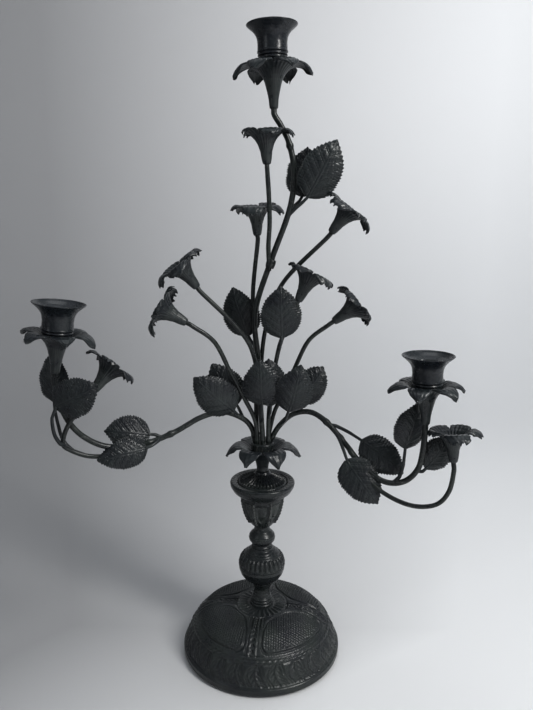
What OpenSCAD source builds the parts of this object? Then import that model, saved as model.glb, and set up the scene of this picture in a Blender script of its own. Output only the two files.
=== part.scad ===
// Tabletop candelabra: turned column, lily bouquet, two branching arms, three candle cups.
// Millimetres. Origin at the middle of the felt underside, +Z up, the front looks along -Y.

/* [Candle cups] */
// Bore for a standard taper candle
candle_bore = 22.4; // [20:0.1:25]
// Clear depth of the candle bore below the flare
candle_depth = 22; // [18:1:28]
// Outside diameter of the cup body
cup_body = 28.2; // [26:0.2:30]
// Diameter of the flared cup rim
cup_rim = 47.8; // [40:0.2:54]
// Height of the cup above its lowest ring
cup_h = 30; // [26:0.5:36]
// Diameter of the clamping screw
screw_dia = 4; // [3:0.5:5]

/* [Foot] */
// Diameter of the round foot over its rim
foot_dia = 170; // [150:1:200]
// Height of the foot, felt to pedestal seat
foot_h = 52; // [48:1:56]
// Number of raised lobes round the foot
foot_lobes = 24; // [16:1:36]
// Number of hatched panels on the foot
foot_panels = 4; // [3:1:6]
// Turn of the foot's pattern about the upright, in degrees
foot_turn = -8; // [-20:1:20]
// Thickness of the felt pad
felt_t = 1.5; // [1:0.5:3]

/* [Column] */
// Diameter of the tie rod through the column
rod_dia = 6; // [5:0.5:8]
// Diameter of the large knop
knop_dia = 49.4; // [44:0.2:56]
// Number of flutes cut in the large knop
knop_flutes = 18; // [12:1:24]
// Diameter of the small knop
bead_dia = 28.2; // [24:0.2:34]
// Diameter of the urn over its rolled rim
urn_dia = 68; // [60:1:76]
// Number of ridges on the urn cover
cover_ridges = 20; // [12:1:28]

/* [Bouquet] */
// Diameter of the main stem
main_dia = 5.6; // [5:0.2:7]
// Diameter of the arm rods
arm_dia = 5.4; // [5:0.2:7]
// Diameter of the flower stems
stem_dia = 4.4; // [3.6:0.2:5]
// Radius of the ring of drilled holes in the stem socket
ring_r = 7.9; // [7.6:0.1:8.6]
// Petals on each large lily
lily_petals = 6; // [5:1:8]
// Spread of the petals under the side cups, against those of the top cup
side_spread = 0.86; // [0.8:0.02:1]
// Petals on each small flower
flower_petals = 5; // [4:1:6]
// Thickness of the leaf blades
leaf_t = 1; // [0.8:0.1:1.6]

/* [Hidden] */
$fn = 48;
rod_r = rod_dia / 2;
bore_r = rod_r + 0.15;
main_r = main_dia / 2;
arm_r = arm_dia / 2;
stem_r = stem_dia / 2;
screw_r = screw_dia / 2;
foot_r = foot_dia / 2;
knop_r = knop_dia / 2;
bead_r = bead_dia / 2;
urn_r = urn_dia / 2;
socket_floor = 230;
socket_top = 236.6;
seat_h = 26.2;
neck_h = 8.3;
side_lift = seat_h + neck_h;
top_lift = 42.5;

// Each cup: foot of its lily, then the lean of its axis in degrees toward +X
top_foot = [8, 0, 564.2];
top_lean = -2;
left_foot = [-188, -70, 325.1];
left_lean = 6.5;
right_foot = [149.7, -70, 280.4];
right_lean = -1;

// Each small flower: foot of its calyx, then the way it faces
fl_a = [2, -13, 513];
fl_a_dir = [-0.06, 0, 1];
fl_b = [-7, 14, 447];
fl_b_dir = [-0.04, -0.07, 1];
fl_c = [-63, -24, 399];
fl_c_dir = [-0.6, -0.1, 0.76];
fl_d = [-73, -30, 366];
fl_d_dir = [-0.84, -0.05, 0.5];
fl_e = [64, -6, 451];
fl_e_dir = [0.6, -0.13, 0.79];
fl_f = [33, -18, 386];
fl_f_dir = [0.42, 0.15, 0.88];
fl_g = [70, 4, 363];
fl_g_dir = [0.82, 0.12, 0.56];
fl_l = [-155, -66, 308];
fl_l_dir = [0.58, 0.36, 0.8];
fl_r = [175, -80, 247];
fl_r_dir = [-0.06, 0.12, 0.99];

// ---------- vectors, curves and shared shapes ----------

function unit(v) = v / norm(v);

// Point on a smooth curve between b and c
function blend(a, b, c, d, t) =
    0.5 * (2 * b + (c - a) * t + (2 * a - 5 * b + 4 * c - d) * t * t
    + (3 * b - a - 3 * c + d) * t * t * t);

// Smooth path through p; the first and last lengths stay straight
function smooth_path(p, n) = concat(
    [p[0]],
    [for (i = [1 : len(p) - 3])
        for (k = [0 : n - 1])
            blend(p[i - 1], p[i], p[i + 1], p[i + 2], k / n)],
    [p[len(p) - 2], p[len(p) - 1]]);

function path_dir(q, i) = unit(q[min(i + 1, len(q) - 1)] - q[max(i - 1, 0)]);

// Direction of a lean in degrees toward +X
function lean_dir(a) = [sin(a), 0, cos(a)];

// Round wire along a list of points
module wire(p, r, sides = 8, n = 3) {
    q = smooth_path(p, n);
    rows = len(q);
    pts = [for (i = [0 : rows - 1])
        let (t = path_dir(q, i), u = unit(cross([0, 1, 0], t)), v = cross(t, u))
        for (j = [0 : sides - 1])
            q[i] + r * (cos(360 * j / sides) * u + sin(360 * j / sides) * v)];
    walls = [for (i = [0 : rows - 2])
        for (j = [0 : sides - 1])
            let (a = i * sides + j, b = i * sides + (j + 1) % sides)
            each [[a, a + sides, b], [b, a + sides, b + sides]]];
    low = [for (j = [1 : sides - 2]) [0, j, j + 1]];
    top_row = (rows - 1) * sides;
    high = [for (j = [1 : sides - 2]) [top_row, top_row + j + 1, top_row + j]];
    polyhedron(points = pts, faces = concat(walls, low, high), convexity = 8);
}

// Turn the local +Z axis along d, then spin about it
module aim(p, d, spin = 0) {
    u = unit(d);
    translate(p)
        rotate([0, acos(u[2]), atan2(u[1], u[0])])
            rotate([0, 0, spin])
                children();
}

// Stand a cup or a lily on its foot with its lean
module stand(p, lean) {
    translate(p)
        rotate([0, lean, 0])
            children();
}

// Share of the full leaf width at t along the blade
function leaf_share(t) = lookup(t, [
    [0, 0.10], [0.1, 0.54], [0.25, 0.9], [0.4, 1], [0.55, 0.93],
    [0.7, 0.7], [0.85, 0.36], [0.94, 0.16], [1, 0.04]]);

// Domed leaf blade from base to tip, its face turned toward `face`
module blade(base, tip, face, w, bow = 4, droop = 4) {
    along = unit(tip - base);
    up = unit(face - (face * along) * along);
    side = cross(along, up);
    length = norm(tip - base);
    rows = 9;
    cols = 7;
    front = [for (i = [0 : rows - 1])
        for (j = [0 : cols - 1])
            let (t = i / (rows - 1), s = 2 * j / (cols - 1) - 1, f = leaf_share(t))
            base + along * length * t + side * (s * f * w / 2)
            + up * (bow * sin(180 * t) - droop * f * s * s)];
    back = [for (p = front) p - up * leaf_t];
    k = rows * cols;
    skin = [for (i = [0 : rows - 2])
        for (j = [0 : cols - 2])
            let (a = i * cols + j, b = a + 1, c = a + cols, d = c + 1)
            each [[a, c, b], [b, c, d], [k + a, k + b, k + c], [k + b, k + d, k + c]]];
    left_edge = [for (i = [0 : rows - 2])
        let (a = i * cols, c = a + cols)
        each [[a, k + a, c], [c, k + a, k + c]]];
    right_edge = [for (i = [0 : rows - 2])
        let (a = i * cols + cols - 1, c = a + cols)
        each [[a, c, k + a], [c, k + c, k + a]]];
    foot_edge = [for (j = [0 : cols - 2]) each [[j, j + 1, k + j], [j + 1, k + j + 1, k + j]]];
    m = (rows - 1) * cols;
    tip_edge = [for (j = [0 : cols - 2])
        each [[m + j, k + m + j, m + j + 1], [m + j + 1, k + m + j, k + m + j + 1]]];
    polyhedron(
        points = concat(front, back),
        faces = concat(skin, left_edge, right_edge, foot_edge, tip_edge),
        convexity = 8);
}

// V-shaped gaps that part a flared rim into petals
module petal_gaps(count, outline, z0, z1) {
    for (i = [0 : count - 1])
        rotate([0, 0, (i + 0.5) * 360 / count])
            translate([0, 0, z0])
                linear_extrude(height = z1 - z0)
                    polygon(outline);
}

// Large lily that carries a cup: solid throat, thin flared petals, stem hole, screw hole
module drip_lily(seat = seat_h, wide = 1) {
    lip = [for (p = [[15, 33.5], [20, 36.8], [25, 38], [30, 36.5], [33.8, 33], [35.6, 29],
                [36.8, 29.5], [34.8, 33.9], [30.6, 37.7], [25, 39.3], [19.5, 38], [14.2, 34.5]])
        [12 + (p[0] - 12) * wide, p[1]]];
    gap = [for (p = [[16.5, 0], [24, 3.2], [31, 8.5], [37, 17.5], [37, -17.5], [31, -8.5],
                [24, -3.2]])
        p * (0.3 + 0.7 * wide)];
    difference() {
        rotate_extrude()
            polygon(concat(
                [[0, 0], [3.9, 0], [4.3, 3], [4.7, 8], [5.7, 13.5], [8, 23], [11, 29]],
                lip,
                [[10, 29.7], [7.8, seat_h - 0.2], [6.6, seat_h - 0.2], [6.6, seat], [0, seat]]));
        translate([0, 0, -1])
            cylinder(h = 9.2, r = arm_r + 0.15);
        translate([0, 0, seat - 9.6])
            cylinder(h = 20, r = screw_r + 0.05);
        petal_gaps(lily_petals, gap, 24, 42);
    }
}

// Small trumpet flower with bent-back petals and a hole for its stem
module small_flower() {
    difference() {
        rotate_extrude()
            polygon([
                [0, 0], [3.2, 0], [4, 1.5], [4.7, 5], [5.3, 9], [5.8, 14], [6.8, 19],
                [8.9, 23.4], [12.5, 27], [16.6, 29.4], [20, 29.6], [22.8, 27.4], [24.4, 23.4],
                [25.5, 23.8], [23.7, 28.2], [20.4, 30.8], [16.2, 30.6], [11.7, 27.9],
                [7.9, 24], [5.6, 19.2], [4.6, 14], [3.6, 10], [0, 9]]);
        translate([0, 0, -1])
            cylinder(h = 6.4, r = stem_r + 0.08);
        petal_gaps(flower_petals, [[10.5, 0], [17, 2.6], [22, 6.5], [26.5, 13.5],
            [26.5, -13.5], [22, -6.5], [17, -2.6]], 22, 40);
    }
}

// Candle cup standing on its lowest ring; its neck reaches down to the lily throat
module candle_cup() {
    body_r = cup_body / 2;
    rim_r = cup_rim / 2;
    hole_r = candle_bore / 2;
    low = cup_h - candle_depth - 7;
    difference() {
        rotate_extrude()
            polygon([
                [0, 0.2 - neck_h], [6.2, 0.2 - neck_h], [6.8, -7], [8.2, -5],
                [10.4, -3], [11.8, -0.4], [13, 0.4], [13, 1.4], [12.6, 2], [12.6, 2.6],
                [13.9, 3.2], [13.9, 4.2], [13.2, 4.8], [13.2, 5.4], [14.3, 6], [14.3, 7],
                [body_r - 0.2, 7.8], [body_r - 0.4, 14], [body_r + 0.1, cup_h - 12],
                [body_r + 0.9, cup_h - 9.6], [body_r + 2.4, cup_h - 7.2],
                [body_r + 4.3, cup_h - 5], [body_r + 6.8, cup_h - 2.8],
                [body_r + 9.1, cup_h - 1.2], [rim_r - 0.3, cup_h - 0.5],
                [rim_r, cup_h - 0.1], [rim_r - 0.4, cup_h + 0.3], [rim_r - 1.6, cup_h],
                [body_r + 7.3, cup_h - 1.5], [body_r + 3.9, cup_h - 3.8],
                [hole_r + 2.4, cup_h - 5.4], [hole_r + 0.5, cup_h - 6.1], [hole_r, cup_h - 7],
                [0, cup_h - 7]]);
        translate([0, 0, low])
            cylinder(h = candle_depth + 8, r = hole_r);
        translate([0, 0, -2.4])
            cylinder(h = 10, r = 4.6);
        translate([0, 0, -neck_h - 1])
            cylinder(h = 30, r = screw_r + 0.35);
    }
}

// Clamping screw, drawn in the frame of its cup
module cup_screw() {
    translate([0, 0, -2.4]) {
        difference() {
            cylinder(h = 2.6, r = 3.6);
            translate([-4, -0.45, 1.5])
                cube([8, 0.9, 2]);
        }
        translate([0, 0, 2.4 - neck_h - 9])
            cylinder(h = neck_h - 2.4 + 9.1, r = screw_r);
    }
}

// Hole position in the stem socket at an angle about the axis
function ring_at(a, z) = [ring_r * cos(a), ring_r * sin(a), z];

// Flower stem from its socket hole through the given points into its flower
module flower_stem(a, mid, f, d, r = stem_r) {
    u = unit(d);
    wire(concat(
        [ring_at(a, socket_floor + 0.2), ring_at(a, socket_top + 1)],
        mid, [f - 7 * u, f - 0.5 * u, f + 5 * u]), r);
}

// ---------- column ----------

module felt_pad() {
    color("darkgreen")
        cylinder(h = felt_t, r = foot_r - 3, $fn = 96);
}

module bottom_plate() {
    color("silver")
        translate([0, 0, felt_t])
            difference() {
                cylinder(h = 1.5, r = foot_r - 7.6, $fn = 96);
                translate([0, 0, -1])
                    cylinder(h = 4, r = 10);
            }
}

// Height of the domed top of the foot at a radius
function dome_z(r) = foot_h + lookup(r, [
    [13.2, 0], [15, -0.5], [30, -1.2], [45, -2.8], [52, -4.6], [58, -7.4], [64, -11.1],
    [69, -15.2], [71.4, -17.6]]);

module base_shell() {
    panel_r = [30, 37, 45, 52, 58, 66];
    rib_r = [18, 30, 45, 52, 58, 64, 68.2];
    color("dimgray") {
        rotate([0, 0, foot_turn]) difference() {
            union() {
                rotate([0, 0, 8])
                    rotate_extrude($fn = 96)
                        polygon([
                            [0, foot_h], [13.2, foot_h], [15, dome_z(15)], [30, dome_z(30)],
                            [45, dome_z(45)], [52, dome_z(52)], [58, dome_z(58)],
                            [64, dome_z(64)], [69, dome_z(69)], [71.4, dome_z(71.4)],
                            [72.2, 34.8], [73.6, 34.2], [74.8, 32.4], [75.2, 30.2], [77.5, 26.2],
                            [80.3, 21], [82.4, 16.4], [83.6, 12.4], [84, 9.4], [84.7, 8.4],
                            [foot_r, 7.2], [foot_r, 2.2], [foot_r - 0.7, felt_t], [0, felt_t]]);
                for (i = [0 : foot_lobes - 1])
                    rotate([0, 0, i * 360 / foot_lobes - 4.6])
                        rotate_extrude(angle = 9.2)
                            polygon([
                                [81.8, 10.2], [84.6, 10.6], [84.3, 14], [83.1, 18], [81, 22.4],
                                [78.3, 27], [76.8, 28.8], [75.4, 25.4]]);
                for (i = [0 : foot_panels - 1]) {
                    rotate([0, 0, (i + 0.5) * 360 / foot_panels - 33])
                        rotate_extrude(angle = 66)
                            polygon(concat(
                                [[28, dome_z(28) - 1], [28, dome_z(28) + 0.6]],
                                [for (r = panel_r) [r, dome_z(r) + 1.1]],
                                [[67.4, dome_z(67.4) + 0.6], [67.4, dome_z(67.4) - 1.4]],
                                [for (i = [4 : -1 : 0]) [panel_r[i], dome_z(panel_r[i]) - 1.2]]));
                    rotate([0, 0, i * 360 / foot_panels - 4])
                        rotate_extrude(angle = 8)
                            polygon(concat(
                                [for (r = rib_r) [r, dome_z(r) + 1.4]],
                                [for (i = [6 : -1 : 0]) [rib_r[i], dome_z(rib_r[i]) - 1.2]]));
                }
            }
            rotate([0, 0, 8])
                rotate_extrude($fn = 96)
                    polygon([
                        [0, 0], [foot_r - 7.4, 0], [foot_r - 7.4, 7], [76.8, 14], [74, 21],
                        [69, 27.6], [62, 34.6], [54, 40.2], [28, 45.8], [13.4, 47.2],
                        [11.4, 46.2], [11.4, 19], [0, 19]]);
            cylinder(h = 70, r = bore_r);
        }
    }
}

module tie_rod() {
    color("silver")
        translate([0, 0, 8.5])
            cylinder(h = 220.4 - 8.5, r = rod_r);
}

module tie_washer() {
    color("silver")
        translate([0, 0, 17.3])
            difference() {
                cylinder(h = 1.6, r = 9);
                translate([0, 0, -1])
                    cylinder(h = 4, r = bore_r);
            }
}

module tie_nut() {
    color("silver")
        translate([0, 0, 12])
            difference() {
                cylinder(h = 5.2, r = 5.8, $fn = 6);
                translate([0, 0, -1])
                    cylinder(h = 8, r = rod_r + 0.05);
            }
}

module pedestal() {
    color("dimgray")
        difference() {
            rotate_extrude()
                polygon([
                    [0, foot_h + 0.1], [12.4, foot_h + 0.1], [12.9, 53], [12.3, 53.8], [11.5, 54.2],
                    [11.5, 54.9], [12.1, 55.5], [12.1, 56.5], [11, 57.1], [10.6, 57.7],
                    [11.2, 58.4], [11, 59.4], [9.7, 60.3], [8.9, 62.2], [8.2, 65.6],
                    [7.8, 69.2], [8.1, 71.8], [9.3, 74.6], [10.8, 76.5], [10.9, 77.5], [0, 77.5]]);
            translate([0, 0, foot_h - 1])
                cylinder(h = 40, r = bore_r);
        }
}

module large_knop() {
    color("dimgray")
        difference() {
            rotate_extrude($fn = 72)
                polygon([
                    [0, 77.6], [11.3, 77.6], [12.4, 78.4], [12.4, 79.3], [15.5, 80.7], [19.7, 84.5],
                    [22.8, 89.1], [knop_r - 0.2, 94.4], [knop_r, 99.1], [knop_r - 0.4, 102],
                    [knop_r - 1.3, 105.4], [21.6, 108.6], [19.2, 110.8], [18.2, 111.4],
                    [18.3, 112.3], [16.4, 113.8], [15, 114.4], [14.7, 115.4], [12.6, 116.6],
                    [11.7, 117.4], [11.6, 119.2], [0, 119.2]]);
            translate([0, 0, 70])
                cylinder(h = 60, r = bore_r);
            for (i = [0 : knop_flutes - 1])
                rotate([0, 0, i * 360 / knop_flutes])
                    translate([knop_r + 1.3, 0, 100.2])
                        rotate([0, -26, 0])
                            cylinder(h = 11, r = 2.1, $fn = 24);
        }
}

module small_knop() {
    color("dimgray")
        difference() {
            rotate_extrude()
                polygon([
                    [0, 119.3], [10.8, 119.3], [11, 120.1], [9.7, 121.4], [9.6, 122.8], [11.6, 124.5],
                    [13.6, 127.1], [bead_r, 130.2], [13.4, 133.1], [11.2, 135.9], [9.2, 137.7],
                    [8.2, 140.3], [8, 142.5], [8.7, 143.8], [0, 143.8]]);
            translate([0, 0, 110])
                cylinder(h = 40, r = bore_r);
        }
}

module urn() {
    color("dimgray")
        difference() {
            union() {
                rotate_extrude($fn = 72)
                    polygon([
                        [0, 143.9], [8.8, 143.9], [11.4, 145.6], [13.4, 148.6], [16.3, 153.6],
                        [19.2, 160.7], [21.1, 167.8], [22, 172.4], [22.6, 176.2], [22.8, 178.6],
                        [24.2, 179.8], [27.4, 181.4], [30.6, 184.2], [urn_r - 1.3, 187.8],
                        [urn_r - 0.3, 190.8], [urn_r, 192.4], [urn_r - 0.3, 193.6], [32.6, 194.4], [29.2, 194.2],
                        [27.2, 193.8], [26.2, 193], [25.9, 191.8], [0, 191.8]]);
                for (i = [0 : 7])
                    rotate([0, 0, (i + 0.5) * 45])
                        translate([14.8, 0, 150.4])
                            rotate([0, 17, 0])
                                cylinder(h = 25, r1 = 1.3, r2 = 2.2, $fn = 24);
            }
            rotate_extrude()
                polygon([
                    [0, 157.1], [11.1, 157.1], [16.1, 162.5], [18.9, 171.3], [19.1, 178.5],
                    [23.6, 183.8], [23.6, 201.8], [0, 201.8]]);
            translate([0, 0, 130])
                cylinder(h = 40, r = bore_r);
        }
}

module urn_cover() {
    color("dimgray")
        difference() {
            union() {
                rotate_extrude($fn = 72)
                    polygon([
                        [0, 191.9], [25.7, 191.9], [25.7, 193.2], [23.6, 195], [16.7, 198.6],
                        [8.4, 202.7], [7.5, 204.5], [6.9, 205.3], [0, 205.3]]);
                for (i = [0 : cover_ridges - 1])
                    rotate([0, 0, i * 360 / cover_ridges])
                        translate([23.4, 0, 194.7])
                            rotate([0, -62, 0])
                                cylinder(h = 16, r1 = 1.4, r2 = 0.7, $fn = 24);
            }
            rotate_extrude()
                polygon([[5.9, 191], [22.3, 191], [22.3, 193.3], [15.8, 196.8], [7.4, 200.9], [6, 200.9]]);
            translate([0, 0, 180])
                cylinder(h = 40, r = bore_r);
        }
}

// ---------- bouquet ----------

module bouquet_lily() {
    color("dimgray")
        difference() {
            rotate_extrude()
                polygon([
                    [0, 205.4], [6.3, 205.4], [6, 207.2], [5.8, 216.2], [6.3, 219.4], [8.6, 222],
                    [12.9, 225.8], [17.8, 229.6], [23.4, 232.4], [29, 231.3], [33.3, 226.6],
                    [35, 221.1], [36.2, 221.5], [34.4, 227.3], [29.7, 232.4], [23.4, 233.8],
                    [17.2, 230.8], [12.1, 226.8], [7.6, 222.8], [5, 220], [4.6, 216.2],
                    [4.6, 214.4], [0, 214.4]]);
            translate([0, 0, 200])
                cylinder(h = 20, r = bore_r);
            petal_gaps(lily_petals, [[16, 0], [23.4, 3.2], [30, 8.4], [37.4, 18.2],
                [37.4, -18.2], [30, -8.4], [23.4, -3.2]], 216, 240);
        }
}

module stem_socket() {
    color("dimgray")
        difference() {
            rotate_extrude()
                polygon([
                    [0, 214.5], [4.3, 214.5], [4.3, 221], [6.4, 223.6], [11.2, 228],
                    [11.6, 229], [11.6, 235.6], [10.8, socket_top], [0, socket_top]]);
            translate([0, 0, 210])
                cylinder(h = 10.6, r = rod_r + 0.05);
            translate([0, 0, 225])
                cylinder(h = 20, r = main_r + 0.08);
            for (i = [0 : 7])
                translate(ring_at(45 * i, socket_floor))
                    cylinder(h = 20, r = (i % 4 == 0 ? arm_r : stem_r) + 0.08, $fn = 32);
        }
}

module main_stem() {
    u = lean_dir(top_lean);
    color("dimgray")
        wire([
            [0, 0, 225.3], [0, 0, 237.4], [-3, 0, 282], [-5, 0, 323], [-9, 0, 359],
            [-6, 0, 385], [8, 0, 427], [24, 0, 472], [28, 0, 506], [23, 0, 533],
            [15, 0, 549], top_foot - 4 * u, top_foot + 7.8 * u], main_r);
}

// Stem of the highest flower, brazed to the main stem at a small collar
module stem_a() {
    u = unit(fl_a_dir);
    color("dimgray") {
        wire([
            [5, -1.6, 414], [4.7, -2.8, 421], [4, -6.4, 438], [5, -9.6, 460], [4, -12, 485],
            fl_a - 7 * u, fl_a - 0.5 * u, fl_a + 5 * u], stem_r);
        translate([4.9, -1.4, 417])
            rotate([0, 20, 0])
                cylinder(h = 8, r = 4.6, $fn = 24);
    }
}

module stem_b() {
    color("dimgray")
        flower_stem(135, [[-7.2, 6.5, 270], [-7, 7, 312], [-9, 8, 353], [-11, 10, 392]],
            fl_b, fl_b_dir);
}

module stem_c() {
    color("dimgray")
        flower_stem(270, [[-2, -8, 273], [-5, -8, 307], [-13, -11, 340], [-30, -16, 364]],
            fl_c, fl_c_dir);
}

module stem_d() {
    color("dimgray")
        flower_stem(225, [[-8, -7, 262], [-19, -11, 287], [-32, -17, 314], [-47, -24, 346]],
            fl_d, fl_d_dir);
}

module stem_e() {
    color("dimgray")
        flower_stem(90, [[-2, 8, 266], [-2, 8, 321], [4, 9, 363], [20, 6, 403]],
            fl_e, fl_e_dir);
}

module stem_f() {
    color("dimgray")
        flower_stem(315, [[6, -6, 270], [10, -7, 307], [16, -11, 341], [24, -15, 364]],
            fl_f, fl_f_dir);
}

module stem_g() {
    color("dimgray")
        flower_stem(45, [[12, 6, 268], [23, 6, 290], [34, 5, 319], [46, 4, 344]],
            fl_g, fl_g_dir);
}

module flower_a() {
    color("dimgray") aim(fl_a, fl_a_dir, 32) small_flower();
}

module flower_b() {
    color("dimgray") aim(fl_b, fl_b_dir, 24) small_flower();
}

module flower_c() {
    color("dimgray") aim(fl_c, fl_c_dir, 10) small_flower();
}

module flower_d() {
    color("dimgray") aim(fl_d, fl_d_dir, 20) small_flower();
}

module flower_e() {
    color("dimgray") aim(fl_e, fl_e_dir, 30) small_flower();
}

module flower_f() {
    color("dimgray") aim(fl_f, fl_f_dir, 0) small_flower();
}

module flower_g() {
    color("dimgray") aim(fl_g, fl_g_dir, 14) small_flower();
}

// ---------- arms ----------

module left_arm() {
    u = lean_dir(left_lean);
    color("dimgray")
        wire([
            ring_at(180, socket_floor + 0.2), ring_at(180, socket_top + 1), [-12, -1, 253],
            [-22, -4, 264], [-41, -11, 272], [-62, -20, 269], [-87, -31, 257],
            [-114, -43, 249], [-137, -53, 249], [-155, -61, 255], [-172, -68, 270],
            [-183, -70, 290], left_foot - 9 * u, left_foot - 0.5 * u,
            left_foot + 7.8 * u], arm_r);
}

// Side shoot of the left arm that carries its flower
module left_twig() {
    u = unit(fl_l_dir);
    color("dimgray")
        wire([
            [-121, -46, 248], [-129, -51, 244], [-144, -57, 242], [-163, -64, 244],
            [-178, -70, 252], [-183, -75, 261], [-176, -75, 280], fl_l - 7 * u, fl_l - 0.5 * u,
            fl_l + 5 * u], stem_r);
}

module left_arm_flower() {
    color("dimgray") aim(fl_l, fl_l_dir, 20) small_flower();
}

module right_arm() {
    u = lean_dir(right_lean);
    color("dimgray")
        wire([
            ring_at(0, socket_floor + 0.2), ring_at(0, socket_top + 1), [17, -2, 255],
            [31, -6, 269], [48, -12, 273], [64, -20, 265], [83, -31, 245], [99, -42, 227],
            [118, -52, 216], [135, -61, 220], [146, -67, 235], [149, -70, 255],
            right_foot - 6 * u, right_foot - 0.5 * u, right_foot + 7.8 * u], arm_r);
}

// Side shoot of the right arm that carries its flower
module right_twig() {
    u = unit(fl_r_dir);
    color("dimgray")
        wire([
            [85, -33, 243], [90, -37, 235], [107, -50, 213], [126, -60, 202],
            [146, -68, 198], [164, -74, 203], [173, -79, 218], fl_r - 9 * u, fl_r - 0.5 * u,
            fl_r + 5 * u], stem_r);
}

module right_arm_flower() {
    color("dimgray") aim(fl_r, fl_r_dir, 4) small_flower();
}

// ---------- cups ----------

module top_lily() {
    color("dimgray") stand(top_foot, top_lean) drip_lily(top_lift - neck_h);
}

module left_lily() {
    color("dimgray") stand(left_foot, left_lean) drip_lily(wide = side_spread);
}

module right_lily() {
    color("dimgray") stand(right_foot, right_lean) drip_lily(wide = side_spread);
}

module top_cup() {
    color("dimgray")
        stand(top_foot, top_lean)
            translate([0, 0, top_lift])
                candle_cup();
}

module left_cup() {
    color("dimgray")
        stand(left_foot, left_lean)
            translate([0, 0, side_lift])
                candle_cup();
}

module right_cup() {
    color("dimgray")
        stand(right_foot, right_lean)
            translate([0, 0, side_lift])
                candle_cup();
}

module cup_screws() {
    color("silver") {
        stand(top_foot, top_lean)
            translate([0, 0, top_lift])
                cup_screw();
        stand(left_foot, left_lean)
            translate([0, 0, side_lift])
                cup_screw();
        stand(right_foot, right_lean)
            translate([0, 0, side_lift])
                cup_screw();
    }
}

// ---------- leaves: each a cast blade with its own stalk ----------

module leaf(base, tip, face, w, stalk, bow = 4, droop = 4, r = 1.8) {
    color("dimgray") {
        blade(base, tip, face, w, bow, droop);
        wire(stalk, r, 6, 3);
    }
}

module leaf_top_front() {
    leaf([41, -7, 484], [67, -11, 536], [0.2, -1, 0.15], 40,
        [[24, 0, 468], [29, -2, 473], [37, -6, 480], [42.8, -7.4, 486]], 5, 3);
}

module leaf_top_back() {
    leaf([37, 8, 485], [40, 12, 532], [-0.25, -1, 0.1], 38,
        [[26, 1, 472], [28, 3, 475], [34, 7, 481], [37.5, 8, 487]], -4, -3);
}

module leaf_upper_left() {
    leaf([-16, 14, 346], [-32, 18, 395], [-0.25, -1, 0.1], 38,
        [[-8.2, 7.6, 334], [-9.4, 9.4, 337], [-13.4, 13, 342], [-16.6, 14, 348]], 4, 4);
}

module leaf_upper_right() {
    leaf([18, -17, 350], [15, -23, 401], [0.05, -1, 0.1], 40,
        [[15.2, -10.4, 336], [16, -12.6, 340], [17.2, -16.2, 346.5], [17.4, -17.4, 352]], 4, 4);
}

module leaf_centre_front() {
    leaf([-1, -15, 281], [-4, -23, 329], [-0.05, -1, 0.15], 38,
        [[-1.6, -8, 262], [-1.6, -10.4, 265], [-1, -14, 273], [-1, -15.4, 283]], 5, 5);
}

module leaf_centre_back() {
    leaf([8, -11, 279], [6, -14, 328], [0.3, -1, 0.1], 37,
        [[5.4, -6, 264], [6, -8, 268], [7.4, -10.4, 273], [8, -11.2, 281]], 3, 4);
}

module leaf_low_left_front() {
    leaf([-29, -16, 275], [-67, -31, 312], [-0.2, -1, 0.25], 39,
        [[-28, -6, 267.6], [-27, -9, 269], [-27, -14, 272], [-30.3, -16.6, 276.3]], 5, 5);
}

module leaf_low_left_back() {
    leaf([-27, -1, 277], [-53, 3, 318], [-0.1, -1, 0.2], 38,
        [[-20.4, -3.4, 263], [-21.4, -1.6, 265.4], [-24.5, -0.6, 272], [-28, -1, 279]], 4, 4);
}

module leaf_low_right_front() {
    leaf([26, -17, 275], [37, -24, 324], [0.1, -1, 0.2], 38,
        [[19.2, -2.6, 257], [19, -6, 259], [23, -14, 266], [26.3, -17.2, 277]], 5, 5);
}

module leaf_low_right_back() {
    leaf([36, 0, 281], [62, 2, 316], [0.2, -1, 0.2], 35,
        [[38, -8.6, 271], [37, -6, 273], [35, -1, 277], [37, 0, 282.4]], 3, 4);
}

module leaf_arm_left_lower() {
    leaf([-111, -49, 247], [-155, -66, 241], [-0.15, -1, 0.25], 29,
        [[-100, -37, 252], [-102, -41, 251], [-107, -47, 248.6], [-112.4, -50, 247]], 4, 4);
}

module leaf_arm_left_upper() {
    leaf([-110, -38, 257], [-152, -48, 263], [-0.1, -0.9, 0.5], 35,
        [[-98, -36, 253], [-101, -36.4, 254.4], [-106, -37, 256.6], [-111.4, -38.6, 257.4]], 3, 4);
}

module leaf_arm_left_cup() {
    leaf([-185, -85, 298], [-145, -90, 319], [0.1, -1, 0.1], 37,
        [[-182, -73.6, 258], [-184, -78.6, 261], [-187.4, -83.6, 272], [-188, -85.4, 288],
            [-183.6, -85.6, 298.8]], 4, 4);
}

module leaf_arm_left_loop() {
    leaf([-193, -62, 296], [-195, -54, 342], [-0.45, -1, 0.1], 35,
        [[-167, -66, 246], [-177, -64, 249], [-187, -62, 259], [-191, -62, 275],
            [-193, -62, 290], [-193.4, -61.6, 298]], 3, 4);
}

module leaf_arm_right_upper() {
    leaf([98, -30, 250], [138, -44, 221], [0.1, -1, 0.35], 34,
        [[66.6, -21.4, 263], [73, -22, 262], [87, -26, 256], [99.5, -30.6, 249]], 4, 4);
}

module leaf_arm_right_lower() {
    leaf([82, -40, 233], [112, -54, 193], [-0.1, -1, 0.3], 38,
        [[72, -25, 257.4], [75, -29.6, 253], [80, -37, 241], [83.4, -40.4, 231.6]], 4, 4);
}

module leaf_arm_right_cup() {
    leaf([135, -57, 252], [146, -56, 297], [0.25, -1, 0.1], 34,
        [[126, -56.4, 217], [131, -56.6, 222], [134.6, -57, 236], [135.6, -57, 254]], 4, 4);
}

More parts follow.
